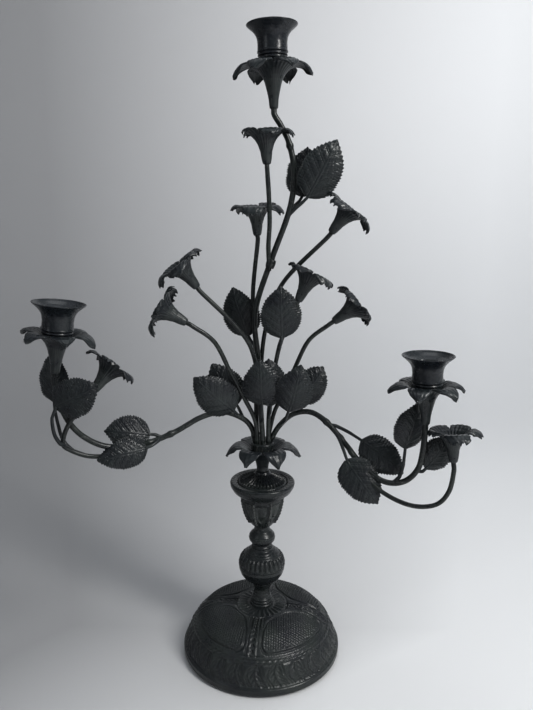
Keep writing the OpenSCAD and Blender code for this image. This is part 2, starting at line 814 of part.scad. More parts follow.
module leaf_arm_right_outer() {
    leaf([153.5, -68, 236], [176, -66, 268], [0.1, -1, 0.1], 29,
        [[145.4, -66.8, 234], [147.4, -66, 232.6], [151, -67, 233], [154.6, -68.4, 237.6]], 2, 3);
}

felt_pad();
bottom_plate();
base_shell();
tie_rod();
tie_washer();
tie_nut();
pedestal();
large_knop();
small_knop();
urn();
urn_cover();
bouquet_lily();
stem_socket();
main_stem();
stem_a();
stem_b();
stem_c();
stem_d();
stem_e();
stem_f();
stem_g();
flower_a();
flower_b();
flower_c();
flower_d();
flower_e();
flower_f();
flower_g();
left_arm();
left_twig();
left_arm_flower();
right_arm();
right_twig();
right_arm_flower();
top_lily();
left_lily();
right_lily();
top_cup();
left_cup();
right_cup();
cup_screws();
leaf_top_front();
leaf_top_back();
leaf_upper_left();
leaf_upper_right();
leaf_centre_front();
leaf_centre_back();
leaf_low_left_front();
leaf_low_left_back();
leaf_low_right_front();
leaf_low_right_back();
leaf_arm_left_lower();
leaf_arm_left_upper();
leaf_arm_left_cup();
leaf_arm_left_loop();
leaf_arm_right_lower();
leaf_arm_right_upper();
leaf_arm_right_cup();
leaf_arm_right_outer();
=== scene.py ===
"""Tabletop candelabra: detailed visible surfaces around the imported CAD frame.
Lengths are in mm and are scaled to metres."""

import math

import bmesh
import bpy
import numpy as np
from mathutils import Matrix, Vector


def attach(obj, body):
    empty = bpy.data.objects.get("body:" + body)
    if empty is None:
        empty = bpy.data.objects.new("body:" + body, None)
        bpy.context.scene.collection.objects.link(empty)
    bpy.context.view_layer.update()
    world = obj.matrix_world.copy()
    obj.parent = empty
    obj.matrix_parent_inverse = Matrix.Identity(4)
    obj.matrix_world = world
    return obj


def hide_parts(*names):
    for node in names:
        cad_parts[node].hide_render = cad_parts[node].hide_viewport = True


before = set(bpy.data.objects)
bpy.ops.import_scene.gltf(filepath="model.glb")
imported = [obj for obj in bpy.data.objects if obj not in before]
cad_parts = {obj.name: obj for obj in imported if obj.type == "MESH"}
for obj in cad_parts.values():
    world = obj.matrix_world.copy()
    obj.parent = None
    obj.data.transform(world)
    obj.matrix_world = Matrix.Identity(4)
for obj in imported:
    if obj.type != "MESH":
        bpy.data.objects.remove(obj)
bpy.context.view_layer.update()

MM = 0.001
TAU = 2 * math.pi


# ---------- arrays, curves and grids ----------

def vec(*p):
    return np.array(p, float)


def unit(v):
    v = np.asarray(v, float)
    return v / np.linalg.norm(v)


def unit_rows(v):
    return v / np.maximum(np.linalg.norm(v, axis=-1, keepdims=True), 1e-9)


def blend(a, b, c, d, t):
    return 0.5 * (2 * b + (c - a) * t + (2 * a - 5 * b + 4 * c - d) * t * t
                  + (3 * b - a - 3 * c + d) * t ** 3)


def smooth_path(points, n):
    """Smooth path through the points; the first and last lengths stay straight."""
    p = [vec(*q) for q in points]
    out = [p[0]]
    for i in range(1, len(p) - 2):
        for k in range(n):
            out.append(blend(p[i - 1], p[i], p[i + 1], p[i + 2], k / n))
    return np.array(out + [p[-2], p[-1]])


def resample(points, step):
    """Points evenly spaced along a polyline, both ends kept."""
    p = np.asarray(points, float)
    seg = np.linalg.norm(np.diff(p, axis=0), axis=1)
    s = np.concatenate([[0], np.cumsum(seg)])
    n = max(2, int(round(s[-1] / step)) + 1)
    t = np.linspace(0, s[-1], n)
    return np.stack([np.interp(t, s, p[:, k]) for k in range(p.shape[1])], axis=1)


def soften(points, passes):
    """Rounds the corners of a polyline and keeps its ends."""
    p = np.array(points, float)
    for _ in range(passes):
        p[1:-1] = 0.25 * p[:-2] + 0.5 * p[1:-1] + 0.25 * p[2:]
    return p


def line_normals(profile):
    """Normals of an (r, z) line, to the right of its direction."""
    d = unit_rows(np.gradient(profile, axis=0))
    return np.stack([d[:, 1], -d[:, 0]], axis=1)


def surface_normals(grid):
    """Normals of a grid of points, rows then columns."""
    return unit_rows(np.cross(np.gradient(grid, axis=0), np.gradient(grid, axis=1)))


def quads_of(rows, cols, wrap=False, start=0):
    """Quads of a grid whose points are numbered row by row."""
    i = np.arange(rows - 1)[:, None]
    j = np.arange(cols if wrap else cols - 1)[None, :]
    k = (j + 1) % cols
    a = i * cols + j
    b = i * cols + k
    return np.stack([a, b, b + cols, a + cols], axis=-1).reshape(-1, 4) + start


def strip(a, b):
    """Quads between two equal lines of point numbers."""
    a, b = np.asarray(a), np.asarray(b)
    return np.stack([a[:-1], a[1:], b[1:], b[:-1]], axis=1)


def noise(seed, count, low=-1.0, high=1.0):
    return np.random.default_rng(seed).uniform(low, high, count)


def wobble(x, seed, waves=4, first=1.0):
    """Smooth repeatable waviness along x, about -1 to 1."""
    phase = noise(seed, waves, 0, TAU)
    total = sum(np.sin(x * first * 1.7 ** k + phase[k]) / (k + 1) for k in range(waves))
    return total / 1.6


def bump_at(x, centre, width):
    return np.exp(-((x - centre) / width) ** 2)


def ramp(x, low, high):
    t = np.clip((x - low) / (high - low), 0, 1)
    return t * t * (3 - 2 * t)


# ---------- materials ----------

def node(tree, kind, place, **values):
    made = tree.nodes.new(kind)
    made.location = place
    for key, value in values.items():
        if key in made.inputs:
            made.inputs[key].default_value = value
        else:
            setattr(made, key, value)
    return made


def new_material(name):
    material = bpy.data.materials.new(name)
    material.use_nodes = True
    tree = material.node_tree
    return material, tree, tree.nodes["Principled BSDF"]


def bumped(tree, shader, height, strength, distance, place):
    bump = node(tree, "ShaderNodeBump", place, Strength=strength, Distance=distance)
    tree.links.new(height, bump.inputs["Height"])
    tree.links.new(bump.outputs["Normal"], shader.inputs["Normal"])


def mixed(tree, factor, a, b, place):
    mix = tree.nodes.new("ShaderNodeMix")
    mix.data_type = "RGBA"
    mix.location = place
    tree.links.new(factor, mix.inputs[0])
    for socket, value in ((mix.inputs[6], a), (mix.inputs[7], b)):
        if isinstance(value, tuple):
            socket.default_value = (*value, 1)
        else:
            tree.links.new(value, socket)
    return mix.outputs[2]


def spread(tree, value, low, high, to_low, to_high, place):
    made = node(tree, "ShaderNodeMapRange", place)
    for key, number in (("From Min", low), ("From Max", high), ("To Min", to_low),
                        ("To Max", to_high)):
        made.inputs[key].default_value = number
    tree.links.new(value, made.inputs["Value"])
    return made.outputs["Result"]


def cloud(tree, coords, scale, detail, place):
    made = node(tree, "ShaderNodeTexNoise", place, Scale=scale, Detail=detail, Roughness=0.6)
    tree.links.new(coords, made.inputs["Vector"])
    return made.outputs["Fac"]


def painted(name, cool, warm, dust, worn_and_highlight, rough=(0.36, 0.56), grain=0.22, wear_and_highlight=0.6):
    """Satin black paint on cast metal: cloudy colour, dusty recesses, ridges lightened partly by
    real scuffing and partly by a painted highlight, grain.
    """
    material, tree, shader = new_material(name)
    coords = node(tree, "ShaderNodeTexCoord", (-1400, 0)).outputs["Object"]
    relief = node(tree, "ShaderNodeAttribute", (-1400, -500), attribute_name="relief")
    broad = cloud(tree, coords, 34, 4, (-1200, 200))
    middle = cloud(tree, coords, 160, 6, (-1200, 0))
    fine = cloud(tree, coords, 900, 4, (-1200, -200))
    speck = cloud(tree, coords, 420, 2, (-1200, -400))
    colour = mixed(tree, spread(tree, broad, 0.35, 0.65, 0, 1, (-1000, 200)), cool, warm,
                   (-800, 200))
    recess = spread(tree, relief.outputs["Fac"], 0.42, 0.1, 0, 1, (-1000, -400))
    patchy = node(tree, "ShaderNodeMath", (-800, -300), operation="MULTIPLY")
    tree.links.new(recess, patchy.inputs[0])
    tree.links.new(spread(tree, middle, 0.35, 0.7, 0.1, 0.8, (-1000, 0)), patchy.inputs[1])
    colour = mixed(tree, patchy.outputs[0], colour, dust, (-600, 100))
    # Ridges take the lighter ridge colour: partly real scuffing of the paint, partly a painted
    # highlight where they catch the light
    ridge = spread(tree, relief.outputs["Fac"], 0.68, 0.95, 0, wear_and_highlight, (-1000, -600))
    rubbed_and_highlit = node(tree, "ShaderNodeMath", (-800, -500), operation="MULTIPLY")
    tree.links.new(ridge, rubbed_and_highlit.inputs[0])
    tree.links.new(spread(tree, speck, 0.46, 0.66, 0, 1, (-1000, -800)), rubbed_and_highlit.inputs[1])
    colour = mixed(tree, rubbed_and_highlit.outputs[0], colour, worn_and_highlight, (-400, 0))
    tree.links.new(colour, shader.inputs["Base Color"])
    tree.links.new(spread(tree, middle, 0.3, 0.7, rough[0], rough[1], (-600, -200)),
                   shader.inputs["Roughness"])
    height = node(tree, "ShaderNodeMath", (-800, -700), operation="MULTIPLY_ADD")
    tree.links.new(fine, height.inputs[0])
    height.inputs[1].default_value = 0.35
    tree.links.new(middle, height.inputs[2])
    bumped(tree, shader, height.outputs[0], grain, 0.0006, (-400, -500))
    return material


def bare_steel(name, colour, rough):
    material, tree, shader = new_material(name)
    shader.inputs["Metallic"].default_value = 1
    coords = node(tree, "ShaderNodeTexCoord", (-1200, 0)).outputs["Object"]
    middle = cloud(tree, coords, 220, 5, (-1000, 0))
    fine = cloud(tree, coords, 1500, 3, (-1000, -200))
    tree.links.new(mixed(tree, spread(tree, middle, 0.35, 0.7, 0, 1, (-800, 0)), colour,
                         tuple(c * 0.55 for c in colour), (-600, 0)),
                   shader.inputs["Base Color"])
    tree.links.new(spread(tree, fine, 0.3, 0.7, rough, rough + 0.2, (-600, -200)),
                   shader.inputs["Roughness"])
    bumped(tree, shader, fine, 0.15, 0.0003, (-400, -400))
    return material


def felt_cloth(name, dark, light):
    material, tree, shader = new_material(name)
    shader.inputs["Roughness"].default_value = 0.95
    shader.inputs["Sheen Weight"].default_value = 0.4
    coords = node(tree, "ShaderNodeTexCoord", (-1200, 0)).outputs["Object"]
    fibre = cloud(tree, coords, 2600, 8, (-1000, 0))
    patch = cloud(tree, coords, 120, 4, (-1000, -200))
    colour = mixed(tree, spread(tree, fibre, 0.35, 0.65, 0, 1, (-800, 0)), dark, light, (-600, 0))
    colour = mixed(tree, spread(tree, patch, 0.5, 0.8, 0, 0.5, (-800, -200)), colour,
                   tuple(c * 0.7 for c in light), (-400, 0))
    tree.links.new(colour, shader.inputs["Base Color"])
    bumped(tree, shader, fibre, 0.7, 0.0005, (-400, -400))
    return material


# Dust colour for recesses; lighter ridge colour, partly real scuffing and partly a painted
# highlight
DUST = (0.060, 0.070, 0.064)
WORN_AND_HIGHLIGHT = (0.21, 0.215, 0.20)
iron = painted("column_iron_paint", (0.010, 0.012, 0.016), (0.020, 0.025, 0.024), DUST, WORN_AND_HIGHLIGHT,
               rough=(0.21, 0.36))
foot_paint = painted("foot_iron_paint", (0.012, 0.014, 0.018), (0.026, 0.032, 0.030), DUST,
                     WORN_AND_HIGHLIGHT, rough=(0.25, 0.42), wear_and_highlight=0.9)
cup_paint = painted("cup_paint", (0.011, 0.013, 0.019), (0.020, 0.025, 0.028), DUST, WORN_AND_HIGHLIGHT,
                    rough=(0.22, 0.34), grain=0.1)
leaf_paint = painted("leaf_paint", (0.008, 0.010, 0.014), (0.022, 0.028, 0.029), DUST, WORN_AND_HIGHLIGHT,
                     rough=(0.25, 0.42))
rod_paint = painted("rod_paint", (0.009, 0.011, 0.013), (0.020, 0.026, 0.023), DUST, WORN_AND_HIGHLIGHT,
                    rough=(0.22, 0.38), grain=0.25)
petal_paint = painted("petal_paint", (0.009, 0.011, 0.016), (0.022, 0.028, 0.030), DUST, WORN_AND_HIGHLIGHT,
                      rough=(0.24, 0.38))
steel = bare_steel("plain_steel", (0.42, 0.42, 0.41), 0.35)
felt = felt_cloth("green_felt", (0.012, 0.030, 0.018), (0.04, 0.075, 0.05))


# ---------- meshes ----------

def linked(name, data):
    made = bpy.data.objects.new(name, data)
    bpy.context.scene.collection.objects.link(made)
    return made


def piece(name, points, quads, material, nodes, body="frame", relief=None, weld=0.0):
    """A smooth-shaded closed mesh in the row frame that stands for CAD nodes."""
    mesh = bpy.data.meshes.new(name)
    quads = np.asarray(quads, np.int32)
    mesh.vertices.add(len(points))
    mesh.vertices.foreach_set("co", (np.asarray(points, float) * MM).ravel())
    mesh.loops.add(quads.size)
    mesh.loops.foreach_set("vertex_index", quads.ravel())
    mesh.polygons.add(len(quads))
    mesh.polygons.foreach_set("loop_start", np.arange(len(quads), dtype=np.int32) * 4)
    mesh.update(calc_edges=True)
    if relief is None:
        relief = np.full(len(points), 0.5)
    layer = mesh.attributes.new("relief", "FLOAT", "POINT")
    layer.data.foreach_set("value", np.clip(relief, 0, 1).astype(np.float32))
    work = bmesh.new()
    work.from_mesh(mesh)
    if weld:
        bmesh.ops.remove_doubles(work, verts=work.verts, dist=weld * MM)
        bmesh.ops.dissolve_degenerate(work, edges=work.edges, dist=1e-7)
    if work.calc_volume(signed=True) < 0:
        bmesh.ops.reverse_faces(work, faces=work.faces)
    work.to_mesh(mesh)
    work.free()
    mesh.polygons.foreach_set("use_smooth", np.ones(len(mesh.polygons), bool))
    mesh.materials.append(material)
    made = linked(name, mesh)
    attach(made, body)
    if nodes:
        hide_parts(*nodes)


def turned(skin, inside, columns, step=0.5, shape=None, passes=2, coarse=2.5):
    """Closed ring solid: skin is the seen (r, z) line, inside closes it out of sight.
    shape(theta, r, z) gives relief in mm along the skin's normal."""
    seen = soften(resample(skin, step), passes)
    hidden = resample(inside, coarse)[1:-1]
    normals = line_normals(seen)
    theta = np.arange(columns) * TAU / columns
    r = np.repeat(seen[:, :1], columns, axis=1)
    z = np.repeat(seen[:, 1:], columns, axis=1)
    raised = shape(np.repeat(theta[None], len(seen), axis=0), r, z) if shape else 0 * r
    fade = np.minimum(np.arange(len(seen)), np.arange(len(seen))[::-1])[:, None] / 3
    raised = raised * np.clip(fade, 0, 1)
    r = r + raised * normals[:, :1]
    z = z + raised * normals[:, 1:]
    r = np.vstack([r, np.repeat(hidden[:, :1], columns, axis=1)])
    z = np.vstack([z, np.repeat(hidden[:, 1:], columns, axis=1)])
    rows = len(r)
    c, s = np.cos(theta), np.sin(theta)
    points = np.stack([r * c, r * s, z], axis=-1).reshape(-1, 3)
    quads = quads_of(rows, columns, wrap=True)
    ring = np.arange(columns)
    last = (rows - 1) * columns
    loop = np.append(ring, 0)
    quads = np.vstack([quads, strip(last + loop, loop)])
    relief = np.full((rows, columns), 0.5)
    if shape:
        relief[:len(raised)] = 0.5 + raised / (2 * max(np.abs(raised).max(), 1e-6))
    return points, quads, relief.ravel()


def column_piece(name, replaced, skin, inside, columns, step, shape, passes=1, coarse=2.5,
                 paint=None):
    p, q, w = turned(skin, inside, columns, step, shape, passes, coarse)
    piece(name, p, q, paint or iron, [replaced], relief=w)


def placed(points, origin, axis, spin=0.0):
    """Turns points by spin about local +Z, then +Z onto the axis, then moves them."""
    u = unit(axis)
    tilt = math.acos(u[2])
    turn = math.atan2(u[1], u[0])
    m = (Matrix.Rotation(turn, 3, "Z") @ Matrix.Rotation(tilt, 3, "Y")
         @ Matrix.Rotation(math.radians(spin), 3, "Z"))
    return np.asarray(points) @ np.array(m).T + vec(*origin)


def lean_dir(degrees):
    return vec(math.sin(math.radians(degrees)), 0, math.cos(math.radians(degrees)))


def stood(points, foot, lean):
    m = np.array(Matrix.Rotation(math.radians(lean), 3, "Y"))
    return np.asarray(points) @ m.T + vec(*foot)


def tube(path, radius, sides=20, uneven=0.05, seed=1):
    """Closed round rod along a path; radius is a number or one per row."""
    q = np.asarray(path, float)
    rows = len(q)
    d = unit_rows(np.gradient(q, axis=0))
    u = unit_rows(np.cross(vec(0, 1, 0), d))
    v = np.cross(d, u)
    a = np.arange(sides) * TAU / sides
    s = np.concatenate([[0], np.cumsum(np.linalg.norm(np.diff(q, axis=0), axis=1))])
    r = np.broadcast_to(np.asarray(radius, float), (rows,))[:, None] * np.ones(sides)
    r = r + uneven * wobble(s, seed, first=0.12)[:, None] \
        + 0.5 * uneven * wobble(s[:, None] * 0.5 + 3 * np.cos(a)[None], seed + 7)
    ring = q[:, None] + r[..., None] * (np.cos(a)[None, :, None] * u[:, None]
                                        + np.sin(a)[None, :, None] * v[:, None])
    points = ring.reshape(-1, 3)
    quads = quads_of(rows, sides, wrap=True)
    low, high = len(points), len(points) + 1
    points = np.vstack([points, q[:1], q[-1:]])
    caps = []
    last = (rows - 1) * sides
    for k in range(0, sides, 2):
        caps.append([low, (k + 2) % sides, k + 1, k])
        caps.append([high, last + k, last + k + 1, last + (k + 2) % sides])
    relief = np.full(len(points), 0.55) + 0.25 * wobble(points[:, 2] * 0.3, seed)
    return points, np.vstack([quads, caps]), relief


def joined(*parts):
    points, quads, relief = [], [], []
    start = 0
    for p, q, r in parts:
        points.append(p)
        quads.append(q + start)
        relief.append(r)
        start += len(p)
    return np.vstack(points), np.vstack(quads), np.concatenate(relief)


def petalled(count, outer_core, inner_core, line, thick, outline, split, seed,
             rows=34, cols=21, core_step=0.8, roof=0.8, frill=0.6, ribs=0.35, droop=10,
             notch=0.0, ragged=0.0):
    """Closed trumpet whose rim parts into petals. Lines are (r, z) from the axis outward; line
    is the middle of a petal from mouth to tip, outline its share of the full width along it."""
    fine = soften(resample(line, 0.25), 8)
    v = np.linspace(0, 1, rows + 1)
    along = np.linspace(0, 1, len(fine))
    side = line_normals(fine)
    s = np.linspace(-1, 1, cols)
    first = int(math.ceil(split * rows))
    core = {}
    for key, raw, sign in (("out", outer_core, 1), ("in", inner_core, -1)):
        end = fine[0] + sign * thick / 2 * side[0]
        core[key] = soften(resample(np.vstack([raw, end]), core_step), 1)[:-1]
    sides = {"out": [], "in": []}
    reliefs = {"out": [], "in": []}
    for i in range(count):
        random = np.random.default_rng(seed * 31 + i)
        bend, lift, twist, grow = random.uniform(-1, 1, 4)
        phase = random.uniform(0, TAU, 4)
        open_part = ramp(v, split, 1)[:, None]
        saw = (np.sin(v * 23 + phase[0])[:, None] * 0.6 + np.sin(v * 41 + phase[1])[:, None] * 0.4)
        half = np.interp(v, outline[0], outline[1])[:, None] * np.ones((1, cols))
        half[v <= split + 1e-9] = 1.0
        half = half * (1 + ragged * saw * ramp(v, split, split + 0.2)[:, None])
        teeth = 0.7 * np.abs(np.sin(s * 1.2 * math.pi + phase[2] / 2)) + 0.3 * np.abs(
            np.sin(s * 2.6 * math.pi + phase[3] / 2))
        reach = 1 - notch * ramp(v, 0.65, 1)[:, None] * teeth[None]
        at = np.clip(v[:, None] * reach, 0, 1)
        r = np.interp(at, along, fine[:, 0])
        z = np.interp(at, along, fine[:, 1])
        nr = np.interp(at, along, side[:, 0])
        nz = np.interp(at, along, side[:, 1])
        veins = 0.5 + 0.5 * np.cos(5 * math.pi * s)[None]
        fine_veins = 0.5 + 0.5 * np.cos(13 * math.pi * s)[None]
        height = ribs * (0.7 * veins + 0.3 * fine_veins) * (0.35 + 0.65 * ramp(v, 0, 0.3))[:, None]
        height = height * (1 - 0.5 * ramp(v, 0.8, 1))[:, None]
        groove = -0.5 * ribs * bump_at(s, 0, 0.06)[None] * open_part
        dome = roof * (1 - s ** 2)[None] * open_part
        wave = frill * open_part * (np.abs(s) ** 2)[None] * (
            np.sin(v * 13 + phase[3])[:, None]
            + 0.6 * np.sin(v[:, None] * 21 + phase[1] + 2 * s[None]))
        lifted = -(height + groove + dome + wave)
        tip = math.radians(droop) * lift * open_part
        rr = r - fine[0, 0]
        zz = z - fine[0, 1]
        r_tip = fine[0, 0] + rr * np.cos(tip) + zz * np.sin(tip)
        z_tip = fine[0, 1] - rr * np.sin(tip) + zz * np.cos(tip)
        r_tip = r_tip * (1 + 0.04 * grow * open_part)
        swing = 0.10 * bend * open_part ** 2
        centre = i * TAU / count
        for key, sign in (("out", 1), ("in", -1)):
            push = lifted + sign * thick / 2 * (1 - 0.35 * open_part * np.abs(s)[None] ** 2
                                                - 0.3 * ramp(v, 0.7, 1)[:, None])
            rp = r_tip + nr * push
            zp = z_tip + nz * push
            angle = centre + s[None] * half * math.pi / count + swing
            c = core[key]
            share = np.linspace(0, 1, len(c))[:, None]
            bumpy = ribs * 0.35 * (0.7 * veins + 0.3 * fine_veins) * ramp(share, 0.25, 0.9)
            core_normals = line_normals(c)
            rc = c[:, :1] - core_normals[:, :1] * bumpy
            zc = c[:, 1:] - core_normals[:, 1:] * bumpy
            angle_c = np.repeat(centre + s[None] * math.pi / count, len(c), axis=0)
            rp, zp = np.vstack([np.maximum(rc, 0), rp]), np.vstack([zc, zp])
            angle = np.vstack([angle_c, angle])
            sides[key].append(np.stack([rp * np.cos(angle), rp * np.sin(angle), zp], axis=-1))
            # Veins and the open petal edges get high relief values, so they take the lighter ridge
            # colour: partly real scuffing, partly a painted highlight
            level = 0.5 + 0.35 * (veins - 0.5) * np.ones_like(rp) - 0.3 * (rp < 9)
            rim = np.vstack([0 * rc, open_part * np.ones((1, cols))])
            edge = ramp(np.abs(s), 0.86, 1)[None] * rim
            reliefs[key].append(np.clip(level + 0.5 * edge, 0, 1))
    points, quads, relief = [], [], []
    start = 0
    number = {}
    for key in ("out", "in"):
        for i in range(count):
            grid = sides[key][i]
            points.append(grid.reshape(-1, 3))
            relief.append(reliefs[key][i].ravel())
            q = quads_of(*grid.shape[:2], start=start)
            quads.append(q if key == "out" else q[:, ::-1])
            number[key, i] = start + np.arange(grid.shape[0] * cols).reshape(-1, cols)
            start += grid.shape[0] * cols
    for i in range(count):
        a, b = number["out", i][-rows - 1:], number["in", i][-rows - 1:]
        quads.append(strip(a[first:, 0], b[first:, 0]))
        quads.append(strip(b[first:, -1], a[first:, -1]))
        quads.append(strip(b[-1], a[-1]))
    return np.vstack(points), np.vstack(quads), np.concatenate(relief)


# Depth of a leaf's teeth and spacing of its smallest veins
TOOTH, NET_PITCH = 1.9, 4.1


def leaf_blade(base, tip, face, width, bow, droop, seed):
    """Cast leaf: serrated outline, sunk veins, quilted skin, wavy edge, 1 mm thick."""
    base, tip, face = vec(*base), vec(*tip), vec(*face)
    d = unit(tip - base)
    up = unit(face - (face @ d) * d)
    side = np.cross(d, up)
    length = np.linalg.norm(tip - base)
    rows, cols = 112, 53
    t = np.linspace(0, 1, rows)[:, None]
    s = np.linspace(-1, 1, cols)[None]
    knots = np.linspace(0, 1, 241)
    share = np.interp(knots, [0, 0.05, 0.12, 0.24, 0.38, 0.52, 0.66, 0.8, 0.9, 0.96, 1],
                      [0.12, 0.5, 0.77, 0.95, 1, 0.98, 0.87, 0.62, 0.34, 0.13, 0.02])
    for _ in range(60):
        share[1:-1] = 0.25 * share[:-2] + 0.5 * share[1:-1] + 0.25 * share[2:]
    f = np.interp(t, knots, share)
    random = np.random.default_rng(seed)
    teeth = 19 + random.integers(0, 4)
    phase = random.uniform(0, 1, 4)
    tooth = (t * teeth + phase[0] + 0.5 * wobble(t * 5, seed + 7)) % 1.0
    serrated = ramp(t, 0.03, 0.12) * (1 - ramp(t, 0.93, 1))
    edge = 0.97 * f * width / 2 + TOOTH * (tooth - 0.45) * serrated
    edge = edge + 0.5 * wobble(t * 9, seed)
    x = s * edge
    y = t * length
    bend = 1.2 * wobble(t * 2.5 + 1, seed + 3)
    pitch = length / 6.4
    q = (y - 0.72 * np.abs(x) * (1 + 0.25 * t)) / pitch + phase[1]
    near = np.abs(q - np.round(q)) * pitch
    inner = ramp(np.abs(s), 0.02, 0.12) * (1 - ramp(np.abs(s), 0.86, 1))
    veins = 0.75 * np.exp(-(near / 0.45) ** 2) * inner - 0.3 * np.exp(-(near / 1.3) ** 2) * inner
    quilt = -0.16 * np.cos(TAU * q) * inner
    cross = (np.abs(x) * 1.25 + 0.25 * y + 0.8 * np.sin(y * 0.5 + phase[0] * 9)) / NET_PITCH
    net = 0.20 * np.exp(-((cross - np.round(cross)) * NET_PITCH / 0.4) ** 2) * inner
    small = net + 0.10 * np.sin(x * 2.1 + 2 * np.sin(y * 0.9)) * np.sin(y * 1.7 + x) * inner
    midrib = 0.9 * np.exp(-(x / 0.65) ** 2) - 0.5 * np.exp(-(x / 1.8) ** 2)
    midrib = midrib * (1 - 0.6 * t)
    wave = (0.9 * np.sin(t * 9 + phase[2] * TAU) + 0.5 * np.sin(t * 17 + phase[3] * TAU)) \
        * np.abs(s) ** 3 * np.sign(s)
    detail = veins + quilt + small + midrib
    z = bow * np.sin(math.pi * t) - droop * f * s ** 2 + detail + wave
    z = z - 1.4 * ramp(t, 0.8, 1)
    mid = (base + d * y[..., None] + side * (x + bend * ramp(t, 0.3, 1))[..., None]
           + up * z[..., None])
    normal = surface_normals(mid)
    if (normal[rows // 2, cols // 2] @ up) < 0:
        normal = -normal
    half = 0.5 * (1 - 0.3 * np.abs(s) ** 4) * np.ones_like(t)
    front = mid + normal * half[..., None]
    back = mid - normal * half[..., None]
    n = rows * cols
    grid = np.arange(n).reshape(rows, cols)
    quads = [quads_of(rows, cols), quads_of(rows, cols, start=n)[:, ::-1],
             strip(grid[:, 0] + n, grid[:, 0]), strip(grid[:, -1], grid[:, -1] + n),
             strip(grid[0], grid[0] + n), strip(grid[-1] + n, grid[-1])]
    # Raised veins and the blade's edge take the lighter ridge colour: partly real scuffing, partly
    # a painted highlight
    level = 0.45 + 0.6 * detail + 0.4 * ramp(np.abs(s), 0.9, 1) * np.ones_like(t)
    relief = np.concatenate([level.ravel(), level.ravel() * 0.8])
    return np.vstack([front.reshape(-1, 3), back.reshape(-1, 3)]), np.vstack(quads), relief


# ---------- foot ----------

DOME = np.array([(13.2, 52), (15, 51.5), (30, 50.8), (45, 49.2), (52, 47.4), (58, 44.6),
                 (64, 40.9), (69, 36.8), (71.4, 34.4)])
ROPE_R, BAND_R = 73.4, 75.6
FOOT_TURN = math.radians(8)
PANEL_IN, PANEL_OUT, PANEL_CORNER, HATCH = 30, 68.4, 9.0, 3.2
RIB_BEADS = 5.2
BORDER_TOP, BORDER_LOW, BORDER_LOBES = 31.0, 9.6, 24


